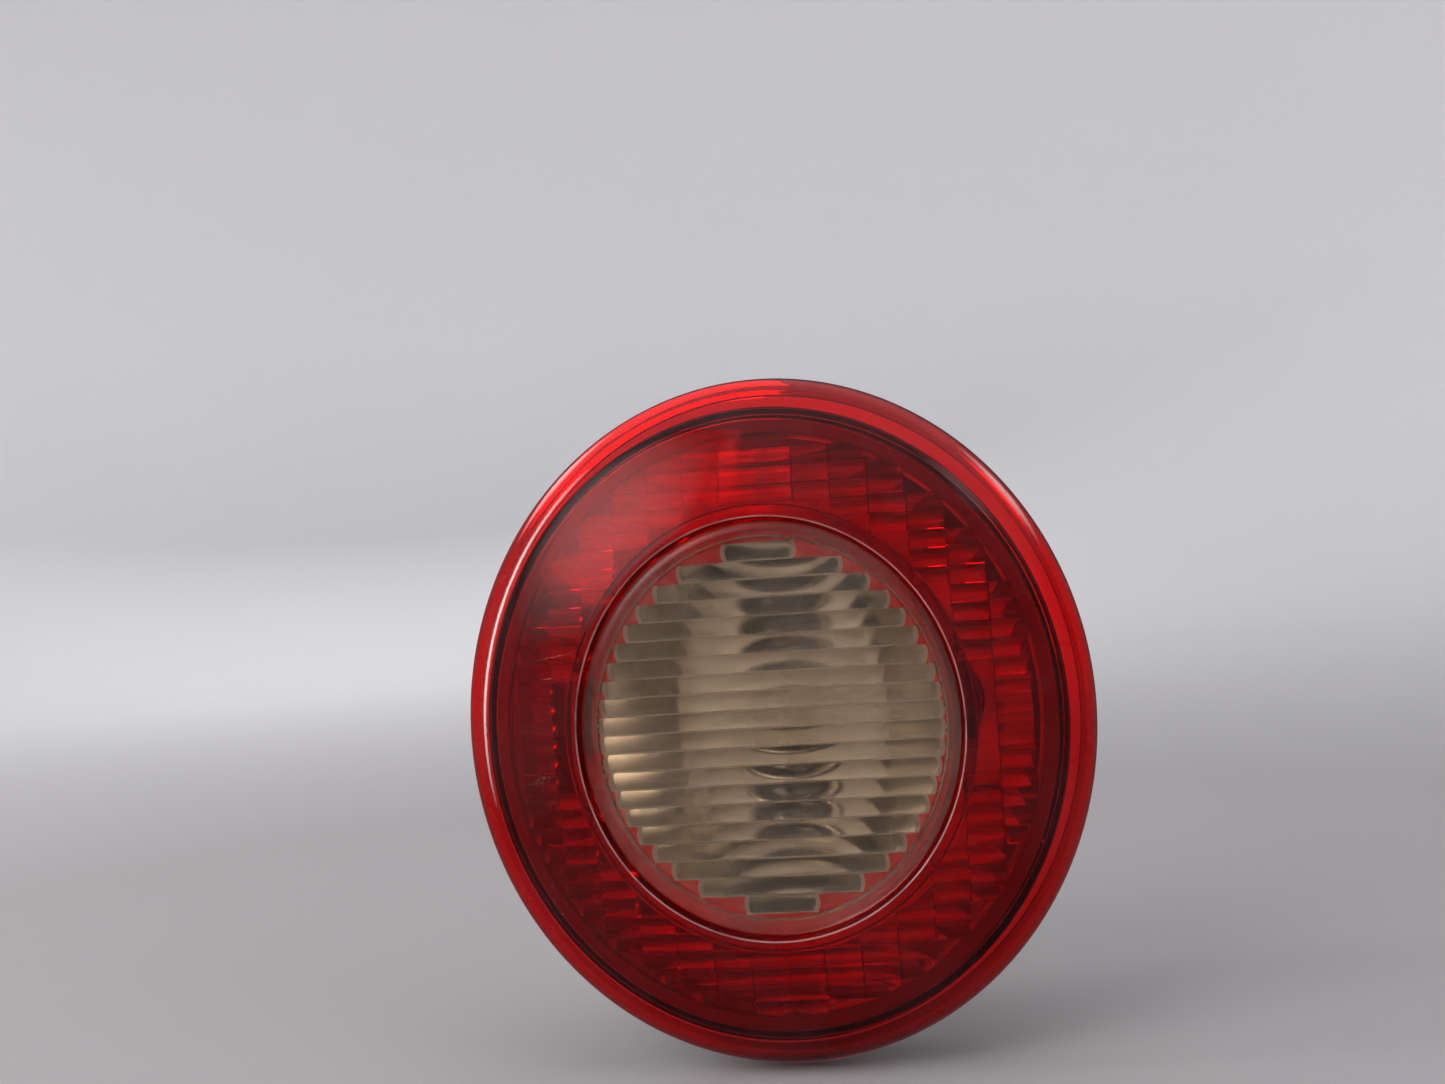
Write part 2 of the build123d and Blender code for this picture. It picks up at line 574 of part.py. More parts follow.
# --- earth_strip: plate on the front of the carrier with a tongue beside each bulb cap -----
tongue_inner = CUP_RADIUS + TOUCH
tongue_top = CARRIER_FRONT + CUP_PROUD + FIT
with BuildPart() as earth_strip:
    with BuildSketch(FRONT.offset(CARRIER_FRONT)):
        Rectangle(2 * SIDE_BULB_OFFSET, EARTH_BAR_WIDTH)
        Rectangle(EARTH_BAR_WIDTH, 2 * MIDDLE_BULB_OFFSET)
        with Locations(*BULBS.values()):
            Circle(tongue_inner + EARTH_RING_WIDTH)
            Circle(tongue_inner, mode=Mode.SUBTRACT)
        collar_oval(SKIRT_GROW - CARRIER_SKIRT_WALL - FIT, mode=Mode.INTERSECT)
    extrude(amount=STRIP_THICK)
    # each tongue stands on the side of its cup that faces the middle, and its lip touches the cap
    tongue_middle = tongue_inner + STRIP_THICK / 2
    lip = tongue_inner + STRIP_THICK - CAP_RADIUS - TOUCH
    lip_middle = CAP_RADIUS + TOUCH + lip / 2
    for x, z in BULBS.values():
        outward = degrees(atan2(z, x))
        with BuildSketch(turned(CARRIER_FRONT, x, z, outward)):
            with Locations((-tongue_middle, 0)):
                Rectangle(STRIP_THICK, STRIP_WIDTH)
        extrude(amount=tongue_top + STRIP_THICK - CARRIER_FRONT)
        with BuildSketch(turned(tongue_top, x, z, outward)):
            with Locations((-lip_middle, 0)):
                Rectangle(lip, STRIP_WIDTH)
        extrude(amount=STRIP_THICK)
keep(earth_strip.part, "earth_strip")

# --- feed strips: from the connector along the plate, up the cup and over its floor --------
for name, (x, z) in BULBS.items():
    with BuildPart() as feed_strip:
        distance = hypot(x, z)
        run_plane = turned(0, 0, 0, degrees(atan2(z, x)))
        riser_at = distance - CUP_RADIUS - TOUCH - STRIP_THICK / 2
        strip_start = TOUCH + (SHROUD_WIDTH if z == 0 else SHROUD_TALL) / 2
        with BuildSketch(run_plane.offset(CARRIER_BACK - STRIP_THICK)):
            with Locations(((strip_start + riser_at + STRIP_THICK / 2) / 2, 0)):
                Rectangle(riser_at + STRIP_THICK / 2 - strip_start, STRIP_WIDTH)
        extrude(amount=STRIP_THICK)
        floor_level = CUP_BOTTOM - CUP_FLOOR - STRIP_THICK
        with BuildSketch(run_plane.offset(floor_level)):
            with Locations((riser_at, 0)):
                Rectangle(STRIP_THICK, STRIP_WIDTH)
        extrude(amount=CARRIER_BACK - floor_level)
        with BuildSketch(run_plane.offset(floor_level)):
            with Locations(((riser_at - STRIP_THICK / 2 + distance + BUTTON_RADIUS) / 2, 0)):
                Rectangle(distance + BUTTON_RADIUS - riser_at + STRIP_THICK / 2, STRIP_WIDTH)
        extrude(amount=STRIP_THICK)
        with BuildSketch(run_plane.offset(floor_level)):
            with Locations((distance, 0)):
                Circle(BUTTON_RADIUS)
        extrude(amount=STRIP_THICK + CUP_FLOOR)
    keep(feed_strip.part, f"feed_strip_{name}")

# --- bulbs: metal cap with two pins, glass envelope, and the stem with its filament --------
neck_radius = CAP_RADIUS - CAP_WALL - TOUCH
neck_end = CAP_LENGTH + GLASS_NECK_PROUD
globe_middle = BULB_HEIGHT - GLOBE_RADIUS
flare_radius = (neck_radius + GLOBE_RADIUS) / 2 + FLARE_BULGE
flare_level = (neck_end + globe_middle) / 2 + FLARE_LIFT
for name, (x, z) in BULBS.items():
    axis_plane = Plane(origin=(x, -CAP_END, z), x_dir=(1, 0, 0), z_dir=(0, -1, 0))
    half_plane = Plane(origin=(x, -CAP_END, z), x_dir=(0, 0, 1), z_dir=(1, 0, 0))
    bulb_axis = Axis((x, 0, z), (0, -1, 0))
    with BuildPart() as bulb_cap:
        with BuildSketch(axis_plane):
            Circle(CAP_RADIUS)
        extrude(amount=CAP_LENGTH)
        pins_plane = Plane(
            origin=(x, -CAP_END - CAP_PIN_HEIGHT, z), x_dir=(0, 1, 0), z_dir=(1, 0, 0)
        )
        with BuildSketch(pins_plane.offset(-CAP_PIN_REACH)):
            Circle(CAP_PIN_RADIUS)
        extrude(amount=2 * CAP_PIN_REACH)
        with BuildSketch(axis_plane.offset(2 * CAP_WALL)):
            Circle(CAP_RADIUS - CAP_WALL)
        extrude(amount=CAP_LENGTH, mode=Mode.SUBTRACT)
        with BuildSketch(axis_plane.offset(-TIP_LENGTH)):
            Circle(TIP_RADIUS)
        extrude(amount=TIP_LENGTH)
    keep(bulb_cap.part, f"bulb_cap_{name}")
    with BuildPart() as bulb_glass:
        with BuildSketch(half_plane):
            with BuildLine():
                neck = Line((neck_radius, GLASS_START), (neck_radius, neck_end))
                flare = ThreePointArc(
                    neck @ 1, (flare_radius, flare_level), (GLOBE_RADIUS, globe_middle)
                )
                dome = CenterArc((0, globe_middle), GLOBE_RADIUS, 0, 90)
                top = Line(dome @ 1, (0, BULB_HEIGHT - GLASS_WALL))
                under_dome = CenterArc((0, globe_middle), GLOBE_RADIUS - GLASS_WALL, 0, 90)
                under_neck = Line(
                    (neck_radius - GLASS_WALL, GLASS_START), (neck_radius - GLASS_WALL, neck_end)
                )
                under_flare = ThreePointArc(
                    under_neck @ 1,
                    (flare_radius - GLASS_WALL, flare_level),
                    (GLOBE_RADIUS - GLASS_WALL, globe_middle),
                )
                Line(under_neck @ 0, neck @ 0)
            make_face()
        revolve(axis=bulb_axis)
    keep(bulb_glass.part, f"bulb_glass_{name}")
    with BuildPart() as bulb_filament:
        with BuildSketch(axis_plane.offset(GLASS_START)):
            Circle(neck_radius - GLASS_WALL - TOUCH)
        extrude(amount=STEM_LENGTH)
        with BuildSketch(axis_plane.offset(GLASS_START + STEM_LENGTH)):
            with Locations((-FILAMENT_SPAN / 2, 0), (FILAMENT_SPAN / 2, 0)):
                Circle(POST_RADIUS)
        extrude(amount=FILAMENT_HEIGHT - GLASS_START - STEM_LENGTH)
        coil_plane = Plane(
            origin=(x, -CAP_END - FILAMENT_HEIGHT, z), x_dir=(0, 1, 0), z_dir=(1, 0, 0)
        )
        with BuildSketch(coil_plane.offset(-FILAMENT_SPAN / 2 - POST_RADIUS)):
            Circle(COIL_RADIUS)
        extrude(amount=FILAMENT_SPAN + 2 * POST_RADIUS)
    keep(bulb_filament.part, f"bulb_filament_{name}")
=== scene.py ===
"""Looks of a round vehicle rear lamp: red acrylic ring, fluted clear disc and the bulb carrier behind."""
import logging
import math
from collections.abc import Iterator
from dataclasses import dataclass
from enum import Enum

import bmesh
import bpy
from mathutils import Matrix, Vector


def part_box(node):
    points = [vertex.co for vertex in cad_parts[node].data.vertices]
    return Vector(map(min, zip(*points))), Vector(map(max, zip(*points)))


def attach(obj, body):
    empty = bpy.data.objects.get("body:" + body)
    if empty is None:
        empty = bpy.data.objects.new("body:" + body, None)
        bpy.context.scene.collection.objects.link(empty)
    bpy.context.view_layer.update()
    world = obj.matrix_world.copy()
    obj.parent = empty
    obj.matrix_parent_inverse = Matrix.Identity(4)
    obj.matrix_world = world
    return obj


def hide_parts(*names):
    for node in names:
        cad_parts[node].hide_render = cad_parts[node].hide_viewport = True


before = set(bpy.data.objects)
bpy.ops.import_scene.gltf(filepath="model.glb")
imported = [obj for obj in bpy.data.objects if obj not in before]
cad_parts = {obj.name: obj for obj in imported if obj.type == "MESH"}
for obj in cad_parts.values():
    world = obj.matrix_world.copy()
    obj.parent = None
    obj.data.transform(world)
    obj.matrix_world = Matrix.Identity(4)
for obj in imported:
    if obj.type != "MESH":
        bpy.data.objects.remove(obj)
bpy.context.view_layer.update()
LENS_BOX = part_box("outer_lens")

Point = tuple[float, float]
Spot = tuple[float, float, float]
Corner = tuple[int, int, int, int]

log = logging.getLogger("rear_lamp")
MM = 0.001
LENS_RATIO = 0.92  # width of the lens over its height
BULB_NAMES = ("indicator", "reversing", "stop_left", "stop_right")


# --- small tools --------------------------------------------------------------------------


def srgb(code: str) -> tuple[float, float, float, float]:
    """Turns an sRGB hex colour into a linear one.

    Args:
        code: six hex digits, with or without a leading #.

    Returns:
        Linear red, green and blue, and a full alpha.
    """
    digits = code.lstrip("#")
    parts = [int(digits[i : i + 2], 16) / 255 for i in (0, 2, 4)]
    linear = [p / 12.92 if p <= 0.04045 else ((p + 0.055) / 1.055) ** 2.4 for p in parts]
    return (linear[0], linear[1], linear[2], 1.0)


def add_node(tree: bpy.types.NodeTree, kind: str, links: dict | None = None, **settings) -> bpy.types.Node:
    """Adds a node with its settings and what feeds it.

    Args:
        tree: the node tree that it joins.
        kind: the node's bl_idname.
        links: input name or number to a socket, a Term or a constant value.
        **settings: attributes of the node.

    Returns:
        The new node.
    """
    node = tree.nodes.new(kind)
    for name, value in settings.items():
        setattr(node, name, value)
    for key, value in (links or {}).items():
        value = value.socket if isinstance(value, Term) else value
        if isinstance(value, bpy.types.NodeSocket):
            tree.links.new(value, node.inputs[key])
        else:
            node.inputs[key].default_value = value
    return node


class Term:
    """A number socket that takes part in arithmetic, so that a node formula reads as one line."""

    def __init__(self, tree: bpy.types.NodeTree, socket: bpy.types.NodeSocket | float) -> None:
        """Keeps the tree and the socket or constant."""
        self.tree = tree
        self.socket = socket

    def op(self, operation: str, *others: "Term | float") -> "Term":
        """Adds a Math node.

        Args:
            operation: the node's operation.
            *others: its second and third values.

        Returns:
            The result.
        """
        node = add_node(self.tree, "ShaderNodeMath", dict(enumerate([self, *others])), operation=operation)
        return Term(self.tree, node.outputs[0])

    def __add__(self, other: "Term | float") -> "Term":
        """Sum."""
        return self.op("ADD", other)

    def __sub__(self, other: "Term | float") -> "Term":
        """Difference."""
        return self.op("SUBTRACT", other)

    def __rsub__(self, other: float) -> "Term":
        """A number less this one."""
        return Term(self.tree, other) - self

    def __mul__(self, other: "Term | float") -> "Term":
        """Product."""
        return self.op("MULTIPLY", other)

    def __truediv__(self, other: "Term | float") -> "Term":
        """Quotient."""
        return self.op("DIVIDE", other)

    def held(self) -> "Term":
        """The number, held between nought and one."""
        return self.op("MINIMUM", 1.0).op("MAXIMUM", 0.0)

    def ramp(self, low: float, high: float, start: float = 0.3, end: float = 0.7) -> "Term":
        """Maps the number from one range to another, held at both ends.

        Args:
            low: result at start.
            high: result at end.
            start: where the change starts.
            end: where it ends.

        Returns:
            The mapped number.
        """
        return ((self - start) / (end - start)).held() * (high - low) + low


def arc(centre: Point, radius: float, start: float, end: float, steps: int) -> list[Point]:
    """Points of an arc in a half section.

    Args:
        centre: its centre.
        radius: its radius.
        start: first angle in degrees.
        end: last angle in degrees.
        steps: how many runs it has.

    Returns:
        The points, ends included.
    """
    angles = [math.radians(start + (end - start) * n / steps) for n in range(steps + 1)]
    return [(centre[0] + radius * math.cos(a), centre[1] + radius * math.sin(a)) for a in angles]


def tangent_arc(start: Point, heading: float, end: Point, steps: int) -> list[Point]:
    """An arc that leaves a point in a given direction and passes through another.

    Args:
        start: where it starts.
        heading: direction there, in degrees.
        end: where it ends.
        steps: how many runs it has.

    Returns:
        The points after the first.
    """
    a = math.radians(heading)
    normal = Vector((-math.sin(a), math.cos(a)))
    chord = Vector(end) - Vector(start)
    radius = chord.length_squared / (2 * chord.dot(normal))
    centre = Vector(start) + normal * radius
    first = Vector(start) - centre
    turn = first.angle_signed(Vector(end) - centre)
    points = []
    for n in range(1, steps + 1):
        spoke = first.copy()
        spoke.rotate(Matrix.Rotation(-turn * n / steps, 2))
        points.append(tuple(centre + spoke))
    return points


NEARLY_STRAIGHT = math.radians(165)  # a corner flatter than this stays as it is


def rounded(points: list[Point], radius: float, steps: int = 4) -> list[Point]:
    """Rounds each corner of a closed outline.

    Args:
        points: its corners.
        radius: how far from the corner the rounding starts.
        steps: runs in each rounding.

    Returns:
        The rounded outline.
    """
    result = []
    count = len(points)
    for n in range(count):
        corner = Vector(points[n])
        before = Vector(points[n - 1]) - corner
        after = Vector(points[(n + 1) % count]) - corner
        if before.angle(after) > NEARLY_STRAIGHT:
            result.append(tuple(corner))
            continue
        reach = min(radius, before.length * 0.4, after.length * 0.4)
        first = corner + before.normalized() * reach
        last = corner + after.normalized() * reach
        for k in range(steps + 1):
            t = k / steps
            result.append(tuple(first * (1 - t) ** 2 + corner * 2 * t * (1 - t) + last * t ** 2))
    return result


def mark_edges(mesh: bpy.types.Mesh, angle: float = 32.0) -> None:
    """Shades a mesh smooth, with the edges sharper than an angle kept.

    Args:
        mesh: the mesh.
        angle: that angle, in degrees.
    """
    work = bmesh.new()
    work.from_mesh(mesh)
    for face in work.faces:
        face.smooth = True
    for edge in work.edges:
        edge.smooth = not (edge.is_manifold and edge.calc_face_angle(0.0) > math.radians(angle))
    work.to_mesh(mesh)
    work.free()


def lathe(
    name: str,
    outline: list[Point],
    ratio: float = 1.0,
    segments: int = 160,
    closed: bool = True,
    angles: list[float] | None = None,
) -> bpy.types.Mesh:
    """Turns a half section about the lamp's axis direction into an oval ring or disc.

    Args:
        name: name of the mesh.
        outline: (radius, height) points in millimetres, the height towards the front.
        ratio: width over height.
        segments: divisions round the axis.
        closed: whether the outline closes on itself away from the axis.
        angles: the angles of the divisions, where they aren't even.

    Returns:
        The mesh, in metres, with its faces outwards.
    """
    work = bmesh.new()
    angles = angles or [math.tau * n / segments for n in range(segments)]
    segments = len(angles)
    rings = []
    for radius, height in outline:
        if radius < 1e-6:
            rings.append([work.verts.new((0.0, -height * MM, 0.0))] * segments)
            continue
        places = [(ratio * radius * math.sin(a), radius * math.cos(a)) for a in angles]
        rings.append([work.verts.new((x * MM, -height * MM, z * MM)) for x, z in places])
    pairs = list(zip(rings, rings[1:] + rings[:1])) if closed else list(zip(rings, rings[1:]))
    for inner, outer in pairs:
        for n in range(segments):
            m = (n + 1) % segments
            corners = list(dict.fromkeys((inner[n], inner[m], outer[m], outer[n])))
            if len(corners) > 2:
                work.faces.new(corners)
    bmesh.ops.recalc_face_normals(work, faces=work.faces)
    mesh = bpy.data.meshes.new(name)
    work.to_mesh(mesh)
    work.free()
    mark_edges(mesh)
    return mesh


def place(mesh: bpy.types.Mesh, kind: "Finish", body: str, slot: str, *nodes: str) -> None:
    """Puts a finished mesh in the scene as a piece of the lamp.

    Args:
        mesh: its mesh, already in place.
        kind: its finish.
        body: the body that it moves with.
        slot: the record's material slot; not used.
        *nodes: the CAD nodes that it stands for.
    """
    piece = bpy.data.objects.new(mesh.name, mesh)
    bpy.context.scene.collection.objects.link(piece)
    if not mesh.materials:
        mesh.materials.append(finish(kind))
    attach(piece, body)
    if nodes:
        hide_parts(*nodes)
    log.info("%s: %d faces, rides on %s", mesh.name, len(mesh.polygons), body)


def grown(name: str, mesh: bpy.types.Mesh, tree: bpy.types.NodeTree, sizes: dict) -> bpy.types.Mesh:
    """Runs a Geometry Nodes tree on a mesh and returns the plain result.

    Args:
        name: name of the result.
        mesh: what the tree starts from.
        tree: the node group.
        sizes: its inputs by name.

    Returns:
        The mesh that the tree makes.
    """
    host = bpy.data.objects.new(name, mesh)
    bpy.context.scene.collection.objects.link(host)
    modifier = host.modifiers.new("grow", "NODES")
    modifier.node_group = tree
    sockets = {s.name: s.identifier for s in tree.interface.items_tree if s.in_out == "INPUT"}
    for key, value in sizes.items():
        modifier[sockets[key]] = value
    bpy.context.view_layer.update()
    evaluated = host.evaluated_get(bpy.context.evaluated_depsgraph_get())
    result = bpy.data.meshes.new_from_object(evaluated)
    result.name = name
    host.modifiers.remove(modifier)
    bpy.data.objects.remove(host)
    return result


def growth_tree(
    name: str, numbers: tuple[str, ...]
) -> tuple[bpy.types.NodeTree, bpy.types.Node, bpy.types.Node, list[Term]]:
    """Starts a Geometry Nodes tree with named number inputs and a finish.

    Args:
        name: name of the tree.
        numbers: names of its number inputs.

    Returns:
        The tree, its input node, its output node and the numbers.
    """
    tree = bpy.data.node_groups.new(name, "GeometryNodeTree")
    tree.interface.new_socket("Geometry", in_out="INPUT", socket_type="NodeSocketGeometry")
    for number in numbers:
        tree.interface.new_socket(number, in_out="INPUT", socket_type="NodeSocketFloat")
    tree.interface.new_socket("Finish", in_out="INPUT", socket_type="NodeSocketMaterial")
    tree.interface.new_socket("Geometry", in_out="OUTPUT", socket_type="NodeSocketGeometry")
    source = tree.nodes.new("NodeGroupInput")
    return tree, source, tree.nodes.new("NodeGroupOutput"), [Term(tree, source.outputs[n]) for n in numbers]


def end_tree(shape: bpy.types.Node, source: bpy.types.Node, sink: bpy.types.Node) -> bpy.types.NodeTree:
    """Ends a growing tree: what it made is made real and gets its finish.

    Args:
        shape: the node that gives the last geometry.
        source: the tree's input node.
        sink: its output node.

    Returns:
        The tree.
    """
    tree = shape.id_data
    whole = add_node(tree, "GeometryNodeRealizeInstances", {0: shape.outputs[0]})
    given = {"Geometry": whole.outputs[0], "Material": source.outputs["Finish"]}
    dressed = add_node(tree, "GeometryNodeSetMaterial", given)
    tree.links.new(dressed.outputs[0], sink.inputs[0])
    return tree


# --- finishes -----------------------------------------------------------------------------


def shader(name: str) -> tuple[bpy.types.Material, bpy.types.NodeTree, bpy.types.Node, bpy.types.Node]:
    """Starts a material.

    Args:
        name: its name.

    Returns:
        The material, its tree, its Principled node and its output node.
    """
    material = bpy.data.materials.new(name)
    material.use_nodes = True
    tree = material.node_tree
    return material, tree, tree.nodes["Principled BSDF"], tree.nodes["Material Output"]


def pattern(tree: bpy.types.NodeTree, scale_mm: float, detail: float = 3.0) -> Term:
    """Noise on the piece's own coordinates.

    Args:
        tree: the material's tree.
        scale_mm: size of its patches, in millimetres.
        detail: how many finer layers it has.

    Returns:
        The noise, about 0.5 on average.
    """
    own = add_node(tree, "ShaderNodeTexCoord").outputs["Object"]
    given = {"Vector": own, "Scale": 1 / (scale_mm * MM), "Detail": detail}
    noise = add_node(tree, "ShaderNodeTexNoise", given)
    return Term(tree, noise.outputs["Fac"])


def own_place(tree: bpy.types.NodeTree) -> tuple[Term, Term, Term]:
    """The piece's own coordinates, one number for each direction."""
    own = add_node(tree, "ShaderNodeTexCoord").outputs["Object"]
    parts = add_node(tree, "ShaderNodeSeparateXYZ", {0: own})
    return Term(tree, parts.outputs[0]), Term(tree, parts.outputs[1]), Term(tree, parts.outputs[2])


SCRATCH_STRETCH = (0.12, 0.3, 1.0)  # how far each direction of the scratch cells is drawn out


def scratches(tree: bpy.types.NodeTree, spacing_mm: float, width: float, angle: float) -> Term:
    """Hairline scratches: the thin borders of long stretched cells.

    Args:
        tree: the material's tree.
        spacing_mm: distance between neighbours, in millimetres.
        width: their width as a share of the spacing.
        angle: their direction about the lamp's axis, in degrees.

    Returns:
        One on a scratch and zero beside it.
    """
    own = add_node(tree, "ShaderNodeTexCoord").outputs["Object"]
    turn = (0.0, math.radians(angle), 0.0)
    turned = add_node(tree, "ShaderNodeMapping", {"Vector": own, "Rotation": turn, "Scale": SCRATCH_STRETCH})
    given = {"Vector": turned.outputs["Vector"], "Scale": 1 / (spacing_mm * MM)}
    cells = add_node(tree, "ShaderNodeTexVoronoi", given, feature="DISTANCE_TO_EDGE")
    return Term(tree, cells.outputs["Distance"]).op("LESS_THAN", width)


@dataclass(frozen=True)
class Acrylic:
    """Moulded acrylic: a hard clear gloss, coloured through its depth, dulled where it was handled."""

    name: str
    tint: str
    depth_colour: str
    depth_density: float
    roughness: float
    scuffed_roughness: float
    haze: float = 0.0
    haze_colour: str = "#b98a90"
    scratch_depth: float = 0.0
    milk: float = 0.0
    milk_colour: str = "#a81018"
    coat: float = 0.0
    coat_roughness: float = 0.38
    joint_highlight_colour: str = ""
    joint_highlight_width: float = 0.2
    joint_highlight_share: float = 0.75
    outside_colour: str = ""
    outside_share: float = 0.85
    # Painted highlight: a pale broken line of colour along the step's edge, at this radius in mm.
    step_highlight_edge: float = 0.0
    step_highlight_width: float = 0.22
    step_highlight_share: float = 0.6
    step_highlight_colour: str = "#e9a8a4"
    handled_mm: float = 38.0
    film_mm: float = 24.0
    # Real dust is finer than this. It is drawn as coarse as it has to be to show.
    dust_mm: float = 1.6
    step_highlight_break_mm: float = 7.0
    gloss: float = 0.5
    ior: float = 1.49

    def make(self) -> bpy.types.Material:
        """Builds the material."""
        material, tree, principled, output = shader(self.name)
        principled.inputs["Base Color"].default_value = srgb(self.tint)
        principled.inputs["IOR"].default_value = self.ior
        principled.inputs["Transmission Weight"].default_value = 1.0
        principled.inputs["Specular IOR Level"].default_value = self.gloss
        principled.inputs["Coat Weight"].default_value = self.coat
        principled.inputs["Coat Roughness"].default_value = self.coat_roughness
        rough = pattern(tree, self.handled_mm, 4.0).ramp(self.roughness, self.scuffed_roughness, 0.42, 0.68)
        tree.links.new(rough.socket, principled.inputs["Roughness"])
        if self.scratch_depth > 0:
            lines = scratches(tree, 26.0, 0.0035, 35.0) + scratches(tree, 31.0, 0.003, -50.0)
            given = {"Height": lines * -1.0, "Strength": 0.35, "Distance": self.scratch_depth * MM}
            bump = add_node(tree, "ShaderNodeBump", given)
            tree.links.new(bump.outputs["Normal"], principled.inputs["Normal"])
        surface = principled.outputs["BSDF"]
        if self.milk > 0:
            surface = self.veil(surface, self.milk, self.milk_colour, 0.5)
        if self.haze > 0:
            film = pattern(tree, self.film_mm, 5.0) * 0.6 + pattern(tree, self.dust_mm, 2.0) * 0.4
            surface = self.veil(surface, film.ramp(0.0, self.haze, 0.38, 0.66), self.haze_colour, 0.0)
        if self.outside_colour:
            past = add_node(tree, "ShaderNodeAttribute", attribute_name="past_end")
            share = Term(tree, past.outputs["Fac"]).op("GREATER_THAN", 0.5) * self.outside_share
            surface = self.veil(surface, share, self.outside_colour, 0.25)
        # Painted highlight: pale lines of colour where the growing tree marked joints and ends.
        if self.joint_highlight_colour:
            near = add_node(tree, "ShaderNodeAttribute", attribute_name="edge")
            line = Term(tree, near.outputs["Fac"]).op("GREATER_THAN", 1 - self.joint_highlight_width) * self.joint_highlight_share
            surface = self.veil(surface, line, self.joint_highlight_colour, 0.5)
        # Painted highlight: a pale line of colour, broken by noise, on the step's edge where the light
        # catches it.
        if self.step_highlight_edge > 0:
            x, _, z = own_place(tree)
            across = x / LENS_RATIO
            off = (across * across + z * z).op("SQRT") - self.step_highlight_edge * MM
            on_edge = off.op("ABSOLUTE").op("LESS_THAN", self.step_highlight_width * MM)
            step_highlight = on_edge * (pattern(tree, self.step_highlight_break_mm) * self.step_highlight_share)
            surface = self.veil(surface, step_highlight, self.step_highlight_colour, 0.0)
        tree.links.new(surface, output.inputs["Surface"])
        given = {"Color": srgb(self.depth_colour), "Density": self.depth_density}
        depth = add_node(tree, "ShaderNodeVolumeAbsorption", given)
        tree.links.new(depth.outputs["Volume"], output.inputs["Volume"])
        return material

    @staticmethod
    def veil(
        surface: bpy.types.NodeSocket, share: Term | float, colour: str, through: float
    ) -> bpy.types.NodeSocket:
        """Lays a matt colour over part of a surface.

        Args:
            surface: the shader so far.
            share: how much of the colour shows, from nought to one.
            colour: its sRGB hex value.
            through: how much of its light comes through from behind.

        Returns:
            The shader with the colour over it.
        """
        tree = surface.id_data
        near = add_node(tree, "ShaderNodeBsdfDiffuse", {"Color": srgb(colour)})
        far = add_node(tree, "ShaderNodeBsdfTranslucent", {"Color": srgb(colour)})
        both = add_node(tree, "ShaderNodeMixShader", {0: through, 1: near.outputs[0], 2: far.outputs[0]})
        return add_node(tree, "ShaderNodeMixShader", {0: share, 1: surface, 2: both.outputs[0]}).outputs[0]


@dataclass(frozen=True)
class MouldedPlastic:
    """Injection-moulded plastic with a fine spark-eroded grain and faint flow clouds."""

    name: str
    colour: str
    cloud_colour: str
    roughness: float = 0.55
    grain_mm: float = 0.35
    cloud_mm: float = 30.0
    gloss_mm: float = 9.0

    def make(self) -> bpy.types.Material:
        """Builds the material."""
        material, tree, principled, _ = shader(self.name)
        clouds = pattern(tree, self.cloud_mm, 4.0).ramp(0.0, 1.0)
        shades = {0: clouds, 6: srgb(self.colour), 7: srgb(self.cloud_colour)}
        colour = add_node(tree, "ShaderNodeMix", shades, data_type="RGBA")
        tree.links.new(colour.outputs[2], principled.inputs["Base Color"])
        rough = pattern(tree, self.gloss_mm).ramp(self.roughness - 0.08, self.roughness + 0.1)
        tree.links.new(rough.socket, principled.inputs["Roughness"])
        given = {"Height": pattern(tree, self.grain_mm, 2.0), "Strength": 0.25, "Distance": 0.05 * MM}
        bump = add_node(tree, "ShaderNodeBump", given)
        tree.links.new(bump.outputs["Normal"], principled.inputs["Normal"])
        return material


@dataclass(frozen=True)
class Metal:
    """Plated or coated metal: zinc, tin, nickel or a vacuum mirror coat, each with its own stains."""

    name: str
    colour: str
    stain_colour: str
    roughness: float
    stained_roughness: float
    stain_mm: float = 6.0
    brush_mm: float = 0.5

    def make(self) -> bpy.types.Material:
        """Builds the material."""
        material, tree, principled, _ = shader(self.name)
        principled.inputs["Metallic"].default_value = 1.0
        stain = pattern(tree, self.stain_mm, 5.0)
        shades = {0: stain.ramp(0.0, 1.0, 0.4, 0.7), 6: srgb(self.colour), 7: srgb(self.stain_colour)}
        colour = add_node(tree, "ShaderNodeMix", shades, data_type="RGBA")
        tree.links.new(colour.outputs[2], principled.inputs["Base Color"])
        rough = stain.ramp(self.roughness, self.stained_roughness)
        tree.links.new(rough.socket, principled.inputs["Roughness"])
        given = {"Height": pattern(tree, self.brush_mm, 2.0), "Strength": 0.15, "Distance": 0.02 * MM}
        bump = add_node(tree, "ShaderNodeBump", given)
        tree.links.new(bump.outputs["Normal"], principled.inputs["Normal"])
        return material


@dataclass(frozen=True)
class Rubber:
    """Rubber, sealant or closed-cell foam: matt, dusty, with pores of a real size."""

    name: str
    colour: str
    pore_mm: float
    pore_depth: float
    roughness: float = 0.8
    dust_colour: str = "#4b4743"
    dust_mm: float = 12.0

    def make(self) -> bpy.types.Material:
        """Builds the material."""
        material, tree, principled, _ = shader(self.name)
        dusty = pattern(tree, self.dust_mm, 4.0).ramp(0.0, 0.35)
        shades = {0: dusty, 6: srgb(self.colour), 7: srgb(self.dust_colour)}
        colour = add_node(tree, "ShaderNodeMix", shades, data_type="RGBA")
        tree.links.new(colour.outputs[2], principled.inputs["Base Color"])
        principled.inputs["Roughness"].default_value = self.roughness
        own = add_node(tree, "ShaderNodeTexCoord").outputs["Object"]
        cells = add_node(tree, "ShaderNodeTexVoronoi", {"Vector": own, "Scale": 1 / (self.pore_mm * MM)})
        given = {"Height": cells.outputs["Distance"], "Strength": 0.6, "Distance": self.pore_depth * MM}
        bump = add_node(tree, "ShaderNodeBump", given)
        tree.links.new(bump.outputs["Normal"], principled.inputs["Normal"])
        return material


